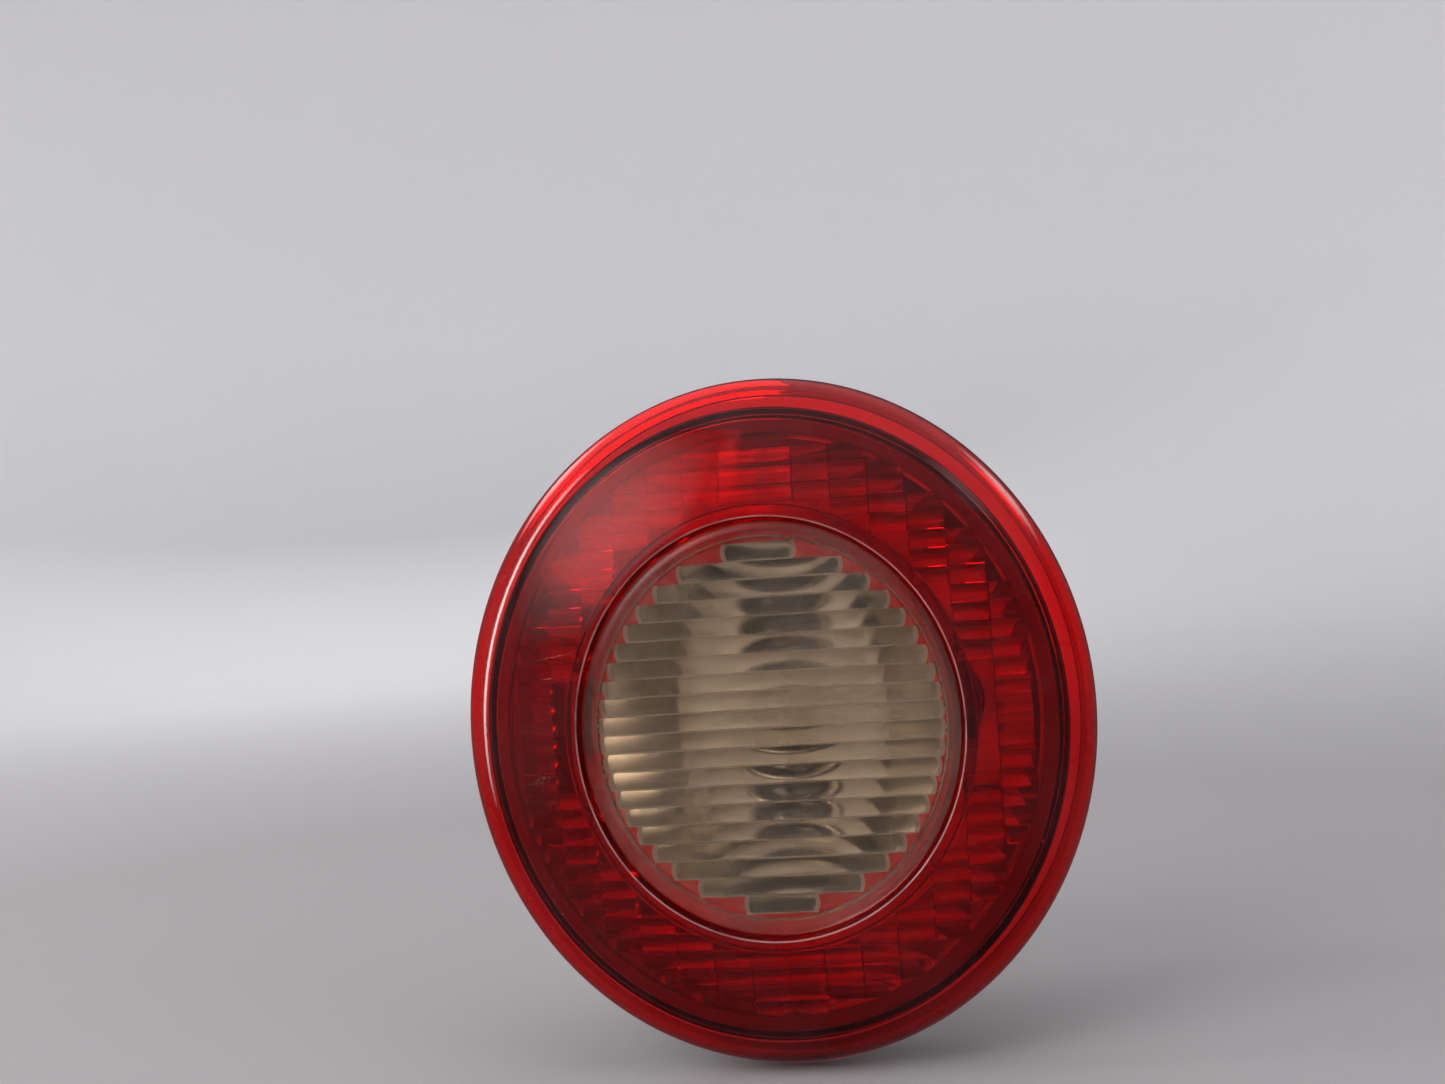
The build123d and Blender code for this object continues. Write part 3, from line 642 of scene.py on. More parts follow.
class Finish(Enum):
    """The finishes that the lamp is made in, each named for its real material."""

    # Injection-moulded acrylic, dyed through: thicker places look darker and redder, the face has a low sheen
    # under a thin film of dust, and a painted highlight, a pale broken line of colour, runs along the step's
    # edge.
    RED_ACRYLIC = Acrylic(
        "red_moulded_acrylic",
        "#f2565c",
        "#fd3238",
        760.0,
        0.02,
        0.06,
        haze=0.016,
        haze_colour="#c9a3aa",
        scratch_depth=0.05,
        milk=0.05,
        coat=0.16,
        gloss=0.14,
        step_highlight_edge=56.9,
    )
    # Clear acrylic smoked by age: a soft view of the bowl behind it, painted highlights as pale sharp lines
    # along the flutes' joints, and a red border past their ends.
    CLEAR_ACRYLIC = Acrylic(
        "smoky_clear_acrylic",
        "#f4eadc",
        "#d2bfa6",
        64.0,
        0.12,
        0.2,
        haze=0.09,
        haze_colour="#c8b4a2",
        scratch_depth=0.03,
        coat=0.2,
        joint_highlight_colour="#f6ecdc",
        joint_highlight_width=0.24,
        outside_colour="#ff3a40",
        gloss=0.3,
    )
    # The same dyed acrylic with a mould-polished face: bright blocks with painted highlight lines at the
    # joints between them.
    PRISM_ACRYLIC = Acrylic(
        "red_prism_acrylic",
        "#ff5548",
        "#ff3a30",
        260.0,
        0.01,
        0.04,
        milk=0.05,
        milk_colour="#ff2a20",
        joint_highlight_colour="#ffb0a0",
        joint_highlight_width=0.4,
        joint_highlight_share=0.9,
    )
    # Aluminium laid on plastic in a vacuum: a soft warm mirror with dull patches.
    MIRROR_COAT = Metal("vacuum_mirror_coat", "#ece8e0", "#b8b0a2", 0.14, 0.34, 22.0)
    # Grained ABS: a dark, quiet back with no clear reflections.
    HOUSING = MouldedPlastic("dark_grey_abs", "#2b2b2d", "#343336")
    # Natural polyamide: off-white, a little waxy, with faint flow clouds.
    CARRIER = MouldedPlastic("off_white_polyamide", "#cfcabd", "#bdb7a8", 0.48)
    # Natural acetal: off-white and slightly glossier, as a part that flexes is.
    LATCH = MouldedPlastic("off_white_acetal", "#d4d0c4", "#c4beb0", 0.38)
    # Bright zinc plate: grey metal with a yellowish stain where it was handled.
    ZINC = Metal("zinc_plated_steel", "#c4c6c2", "#9c9a8a", 0.3, 0.5)
    # Tinned brass: pale strips with brass showing through the thin places.
    TIN = Metal("tinned_brass", "#cfc8b2", "#b59a62", 0.28, 0.45)
    # Nickel plate on the bulbs' caps: warm and bright, with small brown marks.
    NICKEL = Metal("nickel_plated_cap", "#c9c4b6", "#a59a80", 0.24, 0.42)
    # Closed-cell foam: black and matt, with open pores on its cut face.
    FOAM = Rubber("closed_cell_foam", "#17171a", 0.9, 0.25, 0.92)
    # Moulded rubber: black with a dull sheen.
    SEAL = Rubber("moulded_rubber", "#1c1b1b", 0.4, 0.05, 0.62)
    # Butyl sealant squeezed into the joint, partly painted shade: the greyish band inside the lens's shoulder
    # darkens the gap there.
    SEALANT_AND_SHADE = Rubber("grey_sealant_and_painted_shade", "#857577", 1.2, 0.1, 0.7)
    # Soda glass: colourless, with a greenish tone only where it is thick.
    BULB_GLASS = Acrylic("bulb_soda_glass", "#fbfcfb", "#e8f4f0", 20.0, 0.0, 0.03, ior=1.52)
    # Drawn tungsten wire: dark grey with a dull shine.
    TUNGSTEN = Metal("tungsten_wire", "#8c8a86", "#6b6864", 0.35, 0.5)


_made: dict[Finish, bpy.types.Material] = {}


def finish(kind: Finish) -> bpy.types.Material:
    """Makes a finish's material once and hands it out after that."""
    if kind not in _made:
        _made[kind] = kind.value.make()
    return _made[kind]


# --- sub-assemblies -----------------------------------------------------------------------


@dataclass
class RedRing:
    """The red lens: rounded shoulder, skirt, step down to the disc and the weld rib behind."""

    wall: float = 3.0
    shoulder: float = 16.0
    sweep: float = 70.0
    crown_rise: float = 22.5
    skirt_depth: float = 6.0
    skirt_draft: float = 0.8
    inner: float = 56.7
    ratio: float = LENS_RATIO
    step_depth: float = 5.5
    step_draft: float = 0.8
    ledge_width: float = 4.4
    ledge: float = 2.5
    rib_outer: float = 85.4
    rib_thick: float = 2.5
    rib_clear: float = 0.3
    edge_round: float = 0.7
    segments: int = 224

    @property
    def half_height(self) -> float:
        """Half of the lens's height."""
        return LENS_BOX[1][2] / MM

    @property
    def rim(self) -> float:
        """Height of the widest edge in front of the mounting face."""
        return -LENS_BOX[1][1] / MM + self.skirt_depth

    @property
    def crown_edge(self) -> float:
        """Height of the ring's inner edge."""
        return self.rim + self.crown_rise

    @property
    def seat(self) -> float:
        """Height of the ledge under the disc."""
        return self.crown_edge - self.step_depth

    def crown(self, radius_drop: float) -> list[Point]:
        """Shoulder and crown as one run of points.

        Args:
            radius_drop: how far inside the outer surface the run lies.

        Returns:
            Points from the widest edge to the inner edge.
        """
        centre = (self.half_height - self.shoulder, self.rim)
        points = arc(centre, self.shoulder - radius_drop, 0, self.sweep, 22)
        end = (self.inner + radius_drop, self.crown_edge - radius_drop)
        return points + tangent_arc(points[-1], self.sweep + 90, end, 14)

    def build(self) -> None:
        """Builds the ring."""
        under = self.crown(self.wall)
        under_end = under.pop()
        hem = self.rim - self.skirt_depth
        hem_edge = self.half_height - self.skirt_draft
        rib_outer = self.rib_outer
        rib_inner = rib_outer - self.rib_thick
        before = [p for p in under if p[0] > rib_outer + self.rib_clear]
        after = [p for p in under if p[0] < rib_inner - self.rib_clear]
        step_foot = self.inner - self.step_draft
        ledge_edge = step_foot - self.ledge_width
        ledge_back = self.seat - self.ledge
        outline = [(hem_edge, hem), *self.crown(0.0)]
        outline += [(step_foot, self.seat), (ledge_edge, self.seat), (ledge_edge, ledge_back)]
        outline += [(self.inner + self.wall, ledge_back), under_end, *after[::-1]]
        outline += [(rib_inner, after[0][1] - 0.2), (rib_inner, self.rim)]
        outline += [(rib_outer, self.rim), (rib_outer, before[-1][1] + 0.1)]
        outline += [*before[::-1], (hem_edge - self.wall, hem)]
        mesh = lathe("red_ring", rounded(outline, self.edge_round), self.ratio, self.segments)
        place(mesh, Finish.RED_ACRYLIC, "lamp", "red_lens", "outer_lens")


@dataclass
class ClearDisc:
    """The clear disc: smooth crowned face, and rows of low flutes with stepped ends behind it."""

    ring: RedRing
    thick: float = 3.0
    crown: float = 3.0
    plate: float = 2.0
    fit: float = 0.3
    pitch: float = 5.0
    flute_rise: float = 0.55
    end_gap: float = 1.2
    sheet_step: float = 0.2
    rim_round: float = 0.4
    weld: float = 0.004
    columns: int = 144
    rows_per_flute: int = 12
    pole_steps: tuple[float, ...] = (1.5, 3.0, 4.5, 6.0, 8.0, 10.0, 12.0)

    @property
    def window(self) -> float:
        """Half-height of the fluted plate."""
        ring = self.ring
        return ring.inner - ring.step_draft - ring.ledge_width - self.fit

    def rows(self) -> list[float]:
        """Heights of the sheet's rows, fine enough for each flute and for the oval's two ends."""
        step = self.pitch / self.rows_per_flute
        count = math.ceil(self.window / step)
        places = {round(n * step, 4) for n in range(-count + 1, count)}
        poles = {round(self.window * math.cos(math.radians(a)), 4) for a in self.pole_steps}
        places |= poles | {-z for z in poles}
        wanted: list[float] = []
        for z in sorted(places):
            if not wanted or z - wanted[-1] > 0.02:
                wanted.append(z)
        return wanted

    def build(self) -> None:
        """Builds the disc: a turned shell, closed behind by the fluted sheet."""
        ring = self.ring
        half = ring.inner - ring.step_draft - self.fit
        front = ring.seat + self.thick
        level = ring.seat - self.sheet_step
        rows = self.rows()
        right = [math.acos(z / self.window) for z in reversed(rows)]
        angles = [0.0] + right + [math.pi] + [math.tau - a for a in reversed(right)]
        top = (0.0, front + self.crown)
        outline = [top, *tangent_arc(top, 0.0, (half - self.rim_round, front), 26)]
        outline += [(half, front - self.rim_round), (half, ring.seat)]
        outline += [(self.window + self.sheet_step, ring.seat), (self.window, level)]
        shell = lathe("disc_shell", outline, ring.ratio, closed=False, angles=angles)
        sizes = {
            "Pitch": self.pitch * MM,
            "Rise": self.flute_rise * MM,
            "Plate": (self.plate - self.flute_rise - self.sheet_step) * MM,
            "Half Height": self.window * MM,
            "Ratio": ring.ratio,
            "End Gap": self.end_gap * MM,
            "Finish": finish(Finish.CLEAR_ACRYLIC),
        }
        fluted = grown("fluted_back", self.sheet(rows, level), flute_tree(), sizes)
        work = bmesh.new()
        work.from_mesh(fluted)
        work.from_mesh(shell)
        bmesh.ops.remove_doubles(work, verts=work.verts, dist=self.weld * MM)
        bmesh.ops.recalc_face_normals(work, faces=work.faces)
        fluted.clear_geometry()
        work.to_mesh(fluted)
        work.free()
        fluted.name = "clear_disc"
        mark_edges(fluted, 50.0)
        place(fluted, Finish.CLEAR_ACRYLIC, "lamp", "clear_lens", "centre_lens")

    def sheet(self, rows: list[float], level: float) -> bpy.types.Mesh:
        """A flat oval sheet in straight rows, with its rim on the shell's last ring.

        Args:
            rows: heights of its rows.
            level: how far in front of the mounting face it lies.

        Returns:
            The sheet.
        """
        work = bmesh.new()
        # The columns stand a little closer together towards the rim, where the flutes end.
        even = [2 * n / self.columns - 1 for n in range(self.columns + 1)]
        shares = [math.sin(math.pi * e / 2) * 0.35 + e * 0.65 for e in even]
        lines = [[work.verts.new((0.0, -level * MM, -self.window * MM))] * (self.columns + 1)]
        for z in rows:
            reach = self.ring.ratio * math.sqrt(self.window**2 - z**2)
            lines.append([work.verts.new((reach * s * MM, -level * MM, z * MM)) for s in shares])
        lines.append([work.verts.new((0.0, -level * MM, self.window * MM))] * (self.columns + 1))
        for low, high in zip(lines, lines[1:]):
            for n in range(self.columns):
                corners = list(dict.fromkeys((low[n], low[n + 1], high[n + 1], high[n])))
                if len(corners) > 2:
                    work.faces.new(corners)
        mesh = bpy.data.meshes.new("flute_sheet")
        work.to_mesh(mesh)
        work.free()
        return mesh


def point_place(tree: bpy.types.NodeTree) -> tuple[Term, Term, Term]:
    """Where each point of the growing shape is, one number for each direction."""
    position = add_node(tree, "GeometryNodeInputPosition")
    parts = add_node(tree, "ShaderNodeSeparateXYZ", {0: position.outputs[0]})
    return Term(tree, parts.outputs[0]), Term(tree, parts.outputs[1]), Term(tree, parts.outputs[2])


def near_one(distance: Term) -> Term:
    """One on a line, falling to zero a millimetre away from it."""
    return (distance * (-1 / MM) + 1.0).op("MAXIMUM", 0.0)


def keep_number(
    tree: bpy.types.NodeTree, mesh: bpy.types.NodeSocket, name: str, value: Term
) -> bpy.types.Node:
    """Keeps a number with each point, for the material to read.

    Args:
        tree: the growing tree.
        mesh: the geometry so far.
        name: name of the attribute.
        value: the number.

    Returns:
        The node that carries the geometry on.
    """
    given = {"Geometry": mesh, "Name": name, "Value": value}
    return add_node(tree, "GeometryNodeStoreNamedAttribute", given, data_type="FLOAT", domain="POINT")


END_BOW = 0.14  # how far the middle of a flute's end bows out, as a share of the pitch
END_RUN = 0.16  # how long the flute takes to rise from its end, as a share of the pitch
END_LINE = 0.4  # the painted highlight line at a flute's end is wider than the one at its joints by one over this
PAST_END_MM = 4.0  # distance over which the number for the red border grows by one


def flute_tree() -> bpy.types.NodeTree:
    """Tree that pushes an oval sheet back into rows of low flutes, and marks their joints and ends for the
    painted highlight lines and the red border.

    Returns:
        The tree, with the pitch, rise, plate, half-height, ratio and end gap as inputs.
    """
    numbers = ("Pitch", "Rise", "Plate", "Half Height", "Ratio", "End Gap")
    tree, source, sink, (pitch, rise, plate, half, ratio, end_gap) = growth_tree("Flutes", numbers)
    x, _, z = point_place(tree)
    row = (z / pitch + 0.001).op("FLOOR")
    across = ((z / pitch - row - 0.5) * 2.0).op("ABSOLUTE").op("MINIMUM", 1.0)
    far = ((row + 0.5) * pitch).op("ABSOLUTE") + pitch * 0.5
    share = (far / half).op("MINIMUM", 1.0)
    chord = (1.0 - share * share).op("SQRT") * half * ratio
    end = chord - end_gap + (1.0 - across * across) * pitch * END_BOW
    to_end = end - x.op("ABSOLUTE")
    inside = to_end.op("GREATER_THAN", 0.0)
    swell = (1.0 - across * across) * (to_end / (pitch * END_RUN)).held().op("SQRT")
    edge_x = x / ratio
    from_rim = half - (edge_x * edge_x + z * z).op("SQRT")
    slope = (from_rim / (end_gap * 0.5)).held()
    offset = add_node(tree, "ShaderNodeCombineXYZ", {1: (plate + swell * rise) * slope})
    given = {"Geometry": source.outputs["Geometry"], "Offset": offset.outputs[0]}
    moved = add_node(tree, "GeometryNodeSetPosition", given)
    to_row = (1.0 - across) * pitch * 0.5 + (1.0 - inside) * pitch
    nearest = to_row.op("MINIMUM", to_end.op("ABSOLUTE") * END_LINE)
    marked = keep_number(tree, moved.outputs[0], "edge", near_one(nearest))
    past = (to_end * (-1 / (PAST_END_MM * MM)) + 0.5).op("MAXIMUM", 0.0)
    return end_tree(keep_number(tree, marked.outputs[0], "past_end", past), source, sink)


@dataclass
class PrismRing:
    """The prism ring behind the red lens: a cone cut into stepped pillow blocks on a square grid."""

    ring: RedRing
    block_width: float = 10.0
    block_height: float = 5.0
    outer: float = 79.8
    inner: float = 60.2
    outer_rise: float = 8.5
    inner_drop: float = 8.0
    thick: float = 2.0
    pillow: float = 1.1
    foot_thick: float = 1.8
    foot_start: float = 1.6
    bead_gap: float = 0.15
    bead_height: float = 1.0
    lip: float = 0.6
    bead_lap: float = 0.4
    keep_in: float = 1.2
    joint: float = 0.02
    lines: int = 6

    def cells(self) -> set[tuple[int, int]]:
        """The blocks whose middle lies between the two ovals."""
        wide = math.ceil(self.outer / self.block_width)
        high = math.ceil(self.outer / self.block_height)
        kept = set()
        for i in range(-wide, wide):
            for j in range(-high, high):
                across = (i + 0.5) * self.block_width / self.ring.ratio
                rho = math.hypot(across, (j + 0.5) * self.block_height)
                if self.inner + self.keep_in < rho < self.outer - self.keep_in:
                    kept.add((i, j))
        return kept

    def quads(self, kept: set[tuple[int, int]]) -> Iterator[tuple[Corner, Corner, Corner, Corner]]:
        """The faces of one sheet: those of each block, and the narrow ones between neighbours.

        Args:
            kept: the blocks.

        Yields:
            Four corners, each named by its block and its place there.
        """
        last = self.lines - 1
        for i, j in sorted(kept):
            for a in range(last):
                for b in range(last):
                    yield (i, j, a, b), (i, j, a + 1, b), (i, j, a + 1, b + 1), (i, j, a, b + 1)
            right, above, across = (i + 1, j), (i, j + 1), (i + 1, j + 1)
            if right in kept:
                for b in range(last):
                    yield (i, j, last, b), (*right, 0, b), (*right, 0, b + 1), (i, j, last, b + 1)
            if above in kept:
                for a in range(last):
                    yield (i, j, a, last), (i, j, a + 1, last), (*above, a + 1, 0), (*above, a, 0)
            if {right, above, across} <= kept:
                yield (i, j, last, last), (*right, 0, last), (*across, 0, 0), (*above, last, 0)

    def slab(self) -> bpy.types.Mesh:
        """A flat closed slab of the blocks, with a narrow joint between neighbours."""
        work = bmesh.new()
        kept = self.cells()
        last = self.lines - 1
        shares = [self.joint + (1 - 2 * self.joint) * k / last for k in range(self.lines)]
        sheets: list[dict[Corner, bmesh.types.BMVert]] = []
        for depth in (0.0, self.thick * MM):
            sheet = {}
            for i, j in sorted(kept):
                for a, u in enumerate(shares):
                    for b, v in enumerate(shares):
                        spot = ((i + u) * self.block_width * MM, depth, (j + v) * self.block_height * MM)
                        sheet[i, j, a, b] = work.verts.new(spot)
            sheets.append(sheet)
            for corners in self.quads(kept):
                work.faces.new([sheet[c] for c in corners])
        behind = {vert: sheets[1][key] for key, vert in sheets[0].items()}
        for edge in [e for e in work.edges if e.is_boundary and e.verts[0] in behind]:
            p, q = edge.verts
            work.faces.new((p, q, behind[q], behind[p]))
        bmesh.ops.recalc_face_normals(work, faces=work.faces)
        mesh = bpy.data.meshes.new("prism_slab")
        work.to_mesh(mesh)
        work.free()
        return mesh

    def build(self) -> None:
        """Builds the blocks, their foot and the sealant bead beside it, a grey band that also serves as
        painted shade in the gap inside the shoulder.
        """
        ring = self.ring
        top = ring.crown_edge - self.inner_drop
        sizes = {
            "Block Width": self.block_width * MM,
            "Block Height": self.block_height * MM,
            "Inner": self.inner * MM,
            "Outer": self.outer * MM,
            "Inner Level": top * MM,
            "Outer Level": (ring.rim + self.outer_rise) * MM,
            "Thick": self.thick * MM,
            "Pillow": self.pillow * MM,
            "Ratio": ring.ratio,
            "Finish": finish(Finish.PRISM_ACRYLIC),
        }
        mesh = grown("prism_blocks", self.slab(), prism_tree(), sizes)
        mark_edges(mesh, 20.0)
        place(mesh, Finish.PRISM_ACRYLIC, "lamp", "red_optics", "optic_ring")
        outside = self.outer + self.foot_thick
        middle = ring.rim + self.outer_rise
        over = middle + self.thick
        foot_end = ring.rim + self.foot_start
        lip = self.outer - self.lip
        foot = [(self.outer, foot_end), (outside, foot_end), (outside, over)]
        foot += [(lip, over), (lip, middle), (self.outer, middle)]
        mesh = lathe("prism_foot", rounded(foot, 0.3), ring.ratio)
        place(mesh, Finish.PRISM_ACRYLIC, "lamp", "red_optics")
        # Painted shade: the grey bead darkens the gap between the prism foot and the rib.
        near = outside + self.bead_gap
        far = ring.rib_outer - ring.rib_thick - self.bead_gap
        low = over + self.bead_gap
        high = low + self.bead_height
        lap = self.outer - self.bead_lap
        bead = [(near, foot_end), (far, foot_end), (far, high)]
        bead += [(lap, high + self.bead_lap), (lap, low), (near, low)]
        mesh = lathe("sealant_and_shade_bead", rounded(bead, 0.3), ring.ratio)
        place(mesh, Finish.SEALANT_AND_SHADE, "lamp", "black_rubber")


SIDE_SWELL = 0.4  # a block's swell from side to side, as a share of its swell from top to bottom
HALF_A_MM = 0.5 * MM  # the slab's back lies further than this behind its front


def prism_tree() -> bpy.types.NodeTree:
    """Tree that lifts a flat slab of blocks to a cone, each block stepped back and swollen like a pillow.

    Returns:
        The tree, with the block's size, the cone's two edges, thickness and swell as inputs.
    """
    numbers = ("Block Width", "Block Height", "Inner", "Outer", "Inner Level", "Outer Level")
    numbers += ("Thick", "Pillow", "Ratio")
    tree, source, sink, sizes = growth_tree("Prisms", numbers)
    wide, high, inner, outer, inner_level, outer_level, thick, pillow, ratio = sizes
    x, y, z = point_place(tree)

    def level(at_x: Term, at_z: Term) -> Term:
        """Height of the cone at a place."""
        rho = ((at_x / ratio) * (at_x / ratio) + at_z * at_z).op("SQRT")
        return inner_level + (outer_level - inner_level) * ((rho - inner) / (outer - inner))

    column = (x / wide).op("FLOOR")
    row = (z / high).op("FLOOR")
    u = (x / wide - column - 0.5) * 2.0
    v = (z / high - row - 0.5) * 2.0
    swell = pillow * ((1.0 - u * u) * SIDE_SWELL + (1.0 - v * v))
    stepped = level((column + 0.5) * wide, (row + 0.5) * high) - swell
    smooth = level(x, z) + thick
    behind = y.op("GREATER_THAN", HALF_A_MM)
    height = stepped * behind + smooth * (1.0 - behind)
    spot = add_node(tree, "ShaderNodeCombineXYZ", {0: x, 1: height * -1.0, 2: z})
    given = {"Geometry": source.outputs["Geometry"], "Position": spot.outputs[0]}
    moved = add_node(tree, "GeometryNodeSetPosition", given)
    # Marks the joints for the painted highlight lines.
    to_side = (1.0 - u.op("ABSOLUTE")) * wide * 0.5
    to_joint = (1.0 - v.op("ABSOLUTE")) * high * 0.5
    line = near_one(to_side.op("MINIMUM", to_joint)) * behind
    return end_tree(keep_number(tree, moved.outputs[0], "edge", line), source, sink)


@dataclass
class BulbFilaments:
    """The coiled wires between the bulbs' posts."""

    turns: float = 9.0
    coil_radius: float = 0.55
    wire_radius: float = 0.09
    length: float = 5.0

    def build(self) -> None:
        """Builds one coil over the CAD stem of each bulb."""
        tree = coil_tree()
        sizes = {
            "Turns": self.turns,
            "Coil Radius": self.coil_radius * MM,
            "Wire Radius": self.wire_radius * MM,
            "Length": self.length * MM,
            "Finish": finish(Finish.TUNGSTEN),
        }
        lay = Matrix.Rotation(math.radians(90), 4, "Y") @ Matrix.Translation((0, 0, -self.length / 2 * MM))
        for name in BULB_NAMES:
            low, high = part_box(f"bulb_filament_{name}")
            centre = ((low[0] + high[0]) / 2, low[1] + self.coil_radius * MM, (low[2] + high[2]) / 2)
            mesh = grown(f"coil_{name}", bpy.data.meshes.new(f"coil_seed_{name}"), tree, sizes)
            mesh.transform(Matrix.Translation(centre) @ lay)
            place(mesh, Finish.TUNGSTEN, f"bulb_{name}", "filament_wire")


def coil_tree() -> bpy.types.NodeTree:
    """Tree that winds a coil of wire.

    Returns:
        The tree, with the turns, the coil's and the wire's radius and the length as inputs.
    """
    numbers = ("Turns", "Coil Radius", "Wire Radius", "Length")
    tree, source, sink, (turns, coil, wire, length) = growth_tree("Coil", numbers)
    shape = {"Resolution": 12, "Rotations": turns, "Start Radius": coil, "End Radius": coil, "Height": length}
    spiral = add_node(tree, "GeometryNodeCurveSpiral", shape)
    section = add_node(tree, "GeometryNodeCurvePrimitiveCircle", {"Resolution": 5, "Radius": wire})
    swept = add_node(tree, "GeometryNodeCurveToMesh", {0: spiral.outputs[0], 1: section.outputs[0]})
    return end_tree(swept, source, sink)


@dataclass
class Studs:
    """The three mounting studs: a turned shank with its shoulder and head, and a rolled thread."""

    circle: float = 130.0
    count: int = 3
    radius: float = 2.5
    core: float = 2.1
    shoulder: float = 3.5
    head: float = 5.0
    head_height: float = 1.8
    chamfer: float = 0.5
    soft: float = 0.2
    pitch: float = 0.8
    unthreaded: float = 1.8

    def shank(self, tip: float, top: float) -> list[Point]:
        """The stud's half section.

        Args:
            tip: height of its free end.
            top: height of its head.

        Returns:
            The outline from end to end.
        """
        under_head = top - self.head_height
        soft = self.soft
        outline = [(0.0, tip), (self.core - self.chamfer, tip), (self.core, tip + self.chamfer)]
        outline += [(self.core, -3 * soft), (self.radius, -2 * soft), (self.radius, 0.0)]
        outline += [(self.shoulder - soft, 0.0), (self.shoulder, soft), (self.shoulder, under_head)]
        outline += [(self.head - 0.3, under_head), (self.head, under_head + 0.3)]
        return outline + [(self.head, top - 2 * soft), (self.head - 2 * soft, top), (0.0, top)]

    def build(self) -> None:
        """Builds one stud in place of the CAD one and repeats it round the circle."""
        low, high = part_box("mounting_studs")
        tip = -high[1] / MM
        shank = lathe("stud_shank", self.shank(tip, -low[1] / MM), 1.0, 32, closed=False)
        sizes = {
            "Circle": self.circle / 2 * MM,
            "Count": float(self.count),
            "Pitch": self.pitch * MM,
            "Radius": self.core * MM,
            "Depth": (self.radius - self.core) * MM,
            "Start": (-tip - 1.0) * MM,
            "Turns": (-tip - self.unthreaded) / self.pitch,
            "Finish": finish(Finish.ZINC),
        }
        mesh = grown("threaded_studs", shank, stud_tree(), sizes)
        mark_edges(mesh, 40.0)
        place(mesh, Finish.ZINC, "lamp", "zinc_steel", "mounting_studs")


def stud_tree() -> bpy.types.NodeTree:
    """Tree that winds a thread round a shank and sets the studs evenly on a circle.

    Returns:
        The tree, with the circle, count, pitch, radius, depth, start and turns as inputs.
    """
    numbers = ("Circle", "Count", "Pitch", "Radius", "Depth", "Start", "Turns")
    tree, source, sink, sizes = growth_tree("Studs", numbers)
    circle, count, pitch, radius, depth, start, turns = sizes
    quarter = math.radians(90)
    winding = {"Resolution": 20, "Rotations": turns, "Start Radius": radius, "End Radius": radius}
    helix = add_node(tree, "GeometryNodeCurveSpiral", {**winding, "Height": turns * pitch})
    flank = add_node(tree, "GeometryNodeCurvePrimitiveCircle", {"Resolution": 4, "Radius": depth})
    swept = {0: helix.outputs[0], 1: flank.outputs[0], "Fill Caps": True}
    thread = add_node(tree, "GeometryNodeCurveToMesh", swept)
    shift = add_node(tree, "ShaderNodeCombineXYZ", {1: start})
    laid = {0: thread.outputs[0], "Translation": shift.outputs[0], "Rotation": (quarter, 0.0, 0.0)}
    wound = add_node(tree, "GeometryNodeTransform", laid)
    one = add_node(tree, "GeometryNodeJoinGeometry")
    tree.links.new(source.outputs["Geometry"], one.inputs[0])
    tree.links.new(wound.outputs[0], one.inputs[0])
    places = add_node(tree, "GeometryNodeMeshCircle", {"Vertices": count, "Radius": circle})
    turned = {0: places.outputs[0], "Rotation": (quarter, -quarter, 0.0)}
    upright = add_node(tree, "GeometryNodeTransform", turned)
    repeated = {"Points": upright.outputs[0], "Instance": one.outputs[0]}
    return end_tree(add_node(tree, "GeometryNodeInstanceOnPoints", repeated), source, sink)


@dataclass
class CarriedOver:
    """The CAD pieces that keep their shape and get their real finish."""

    def build(self) -> None:
        """Gives each CAD node its material."""
        wanted = {
            "reflector": Finish.MIRROR_COAT,
            "housing": Finish.HOUSING,
            "body_gasket": Finish.FOAM,
            "vent_cap": Finish.SEAL,
            "carrier_plate": Finish.CARRIER,
            "carrier_seal": Finish.SEAL,
            "earth_strip": Finish.TIN,
            "connector_pins": Finish.TIN,
            "latch_left": Finish.LATCH,
            "latch_right": Finish.LATCH,
        }
        for name in BULB_NAMES:
            wanted[f"feed_strip_{name}"] = Finish.TIN
            wanted[f"bulb_cap_{name}"] = Finish.NICKEL
            wanted[f"bulb_glass_{name}"] = Finish.BULB_GLASS
            wanted[f"bulb_filament_{name}"] = Finish.TUNGSTEN
        for name, kind in wanted.items():
            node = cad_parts[name]
            for slot in node.material_slots:
                slot.material = finish(kind)
            log.info("%s: dressed as %s", name, kind.value.name)


@dataclass(frozen=True)
class Softbox:
    """A square soft light aimed at the lamp, unseen in its gloss."""

    name: str
    spot: Spot
    size: float
    power: float
    colour: str

    def build(self) -> None:
        """Adds the light."""
        data = bpy.data.lights.new(self.name, "AREA")
        data.size = self.size
        data.energy = self.power
        data.color = srgb(self.colour)[:3]
        lamp = bpy.data.objects.new(self.name, data)
        lamp.visible_glossy = False
        lamp.location = self.spot
        lamp.rotation_euler = (AIM - Vector(self.spot)).to_track_quat("-Z", "Y").to_euler()
        bpy.context.scene.collection.objects.link(lamp)


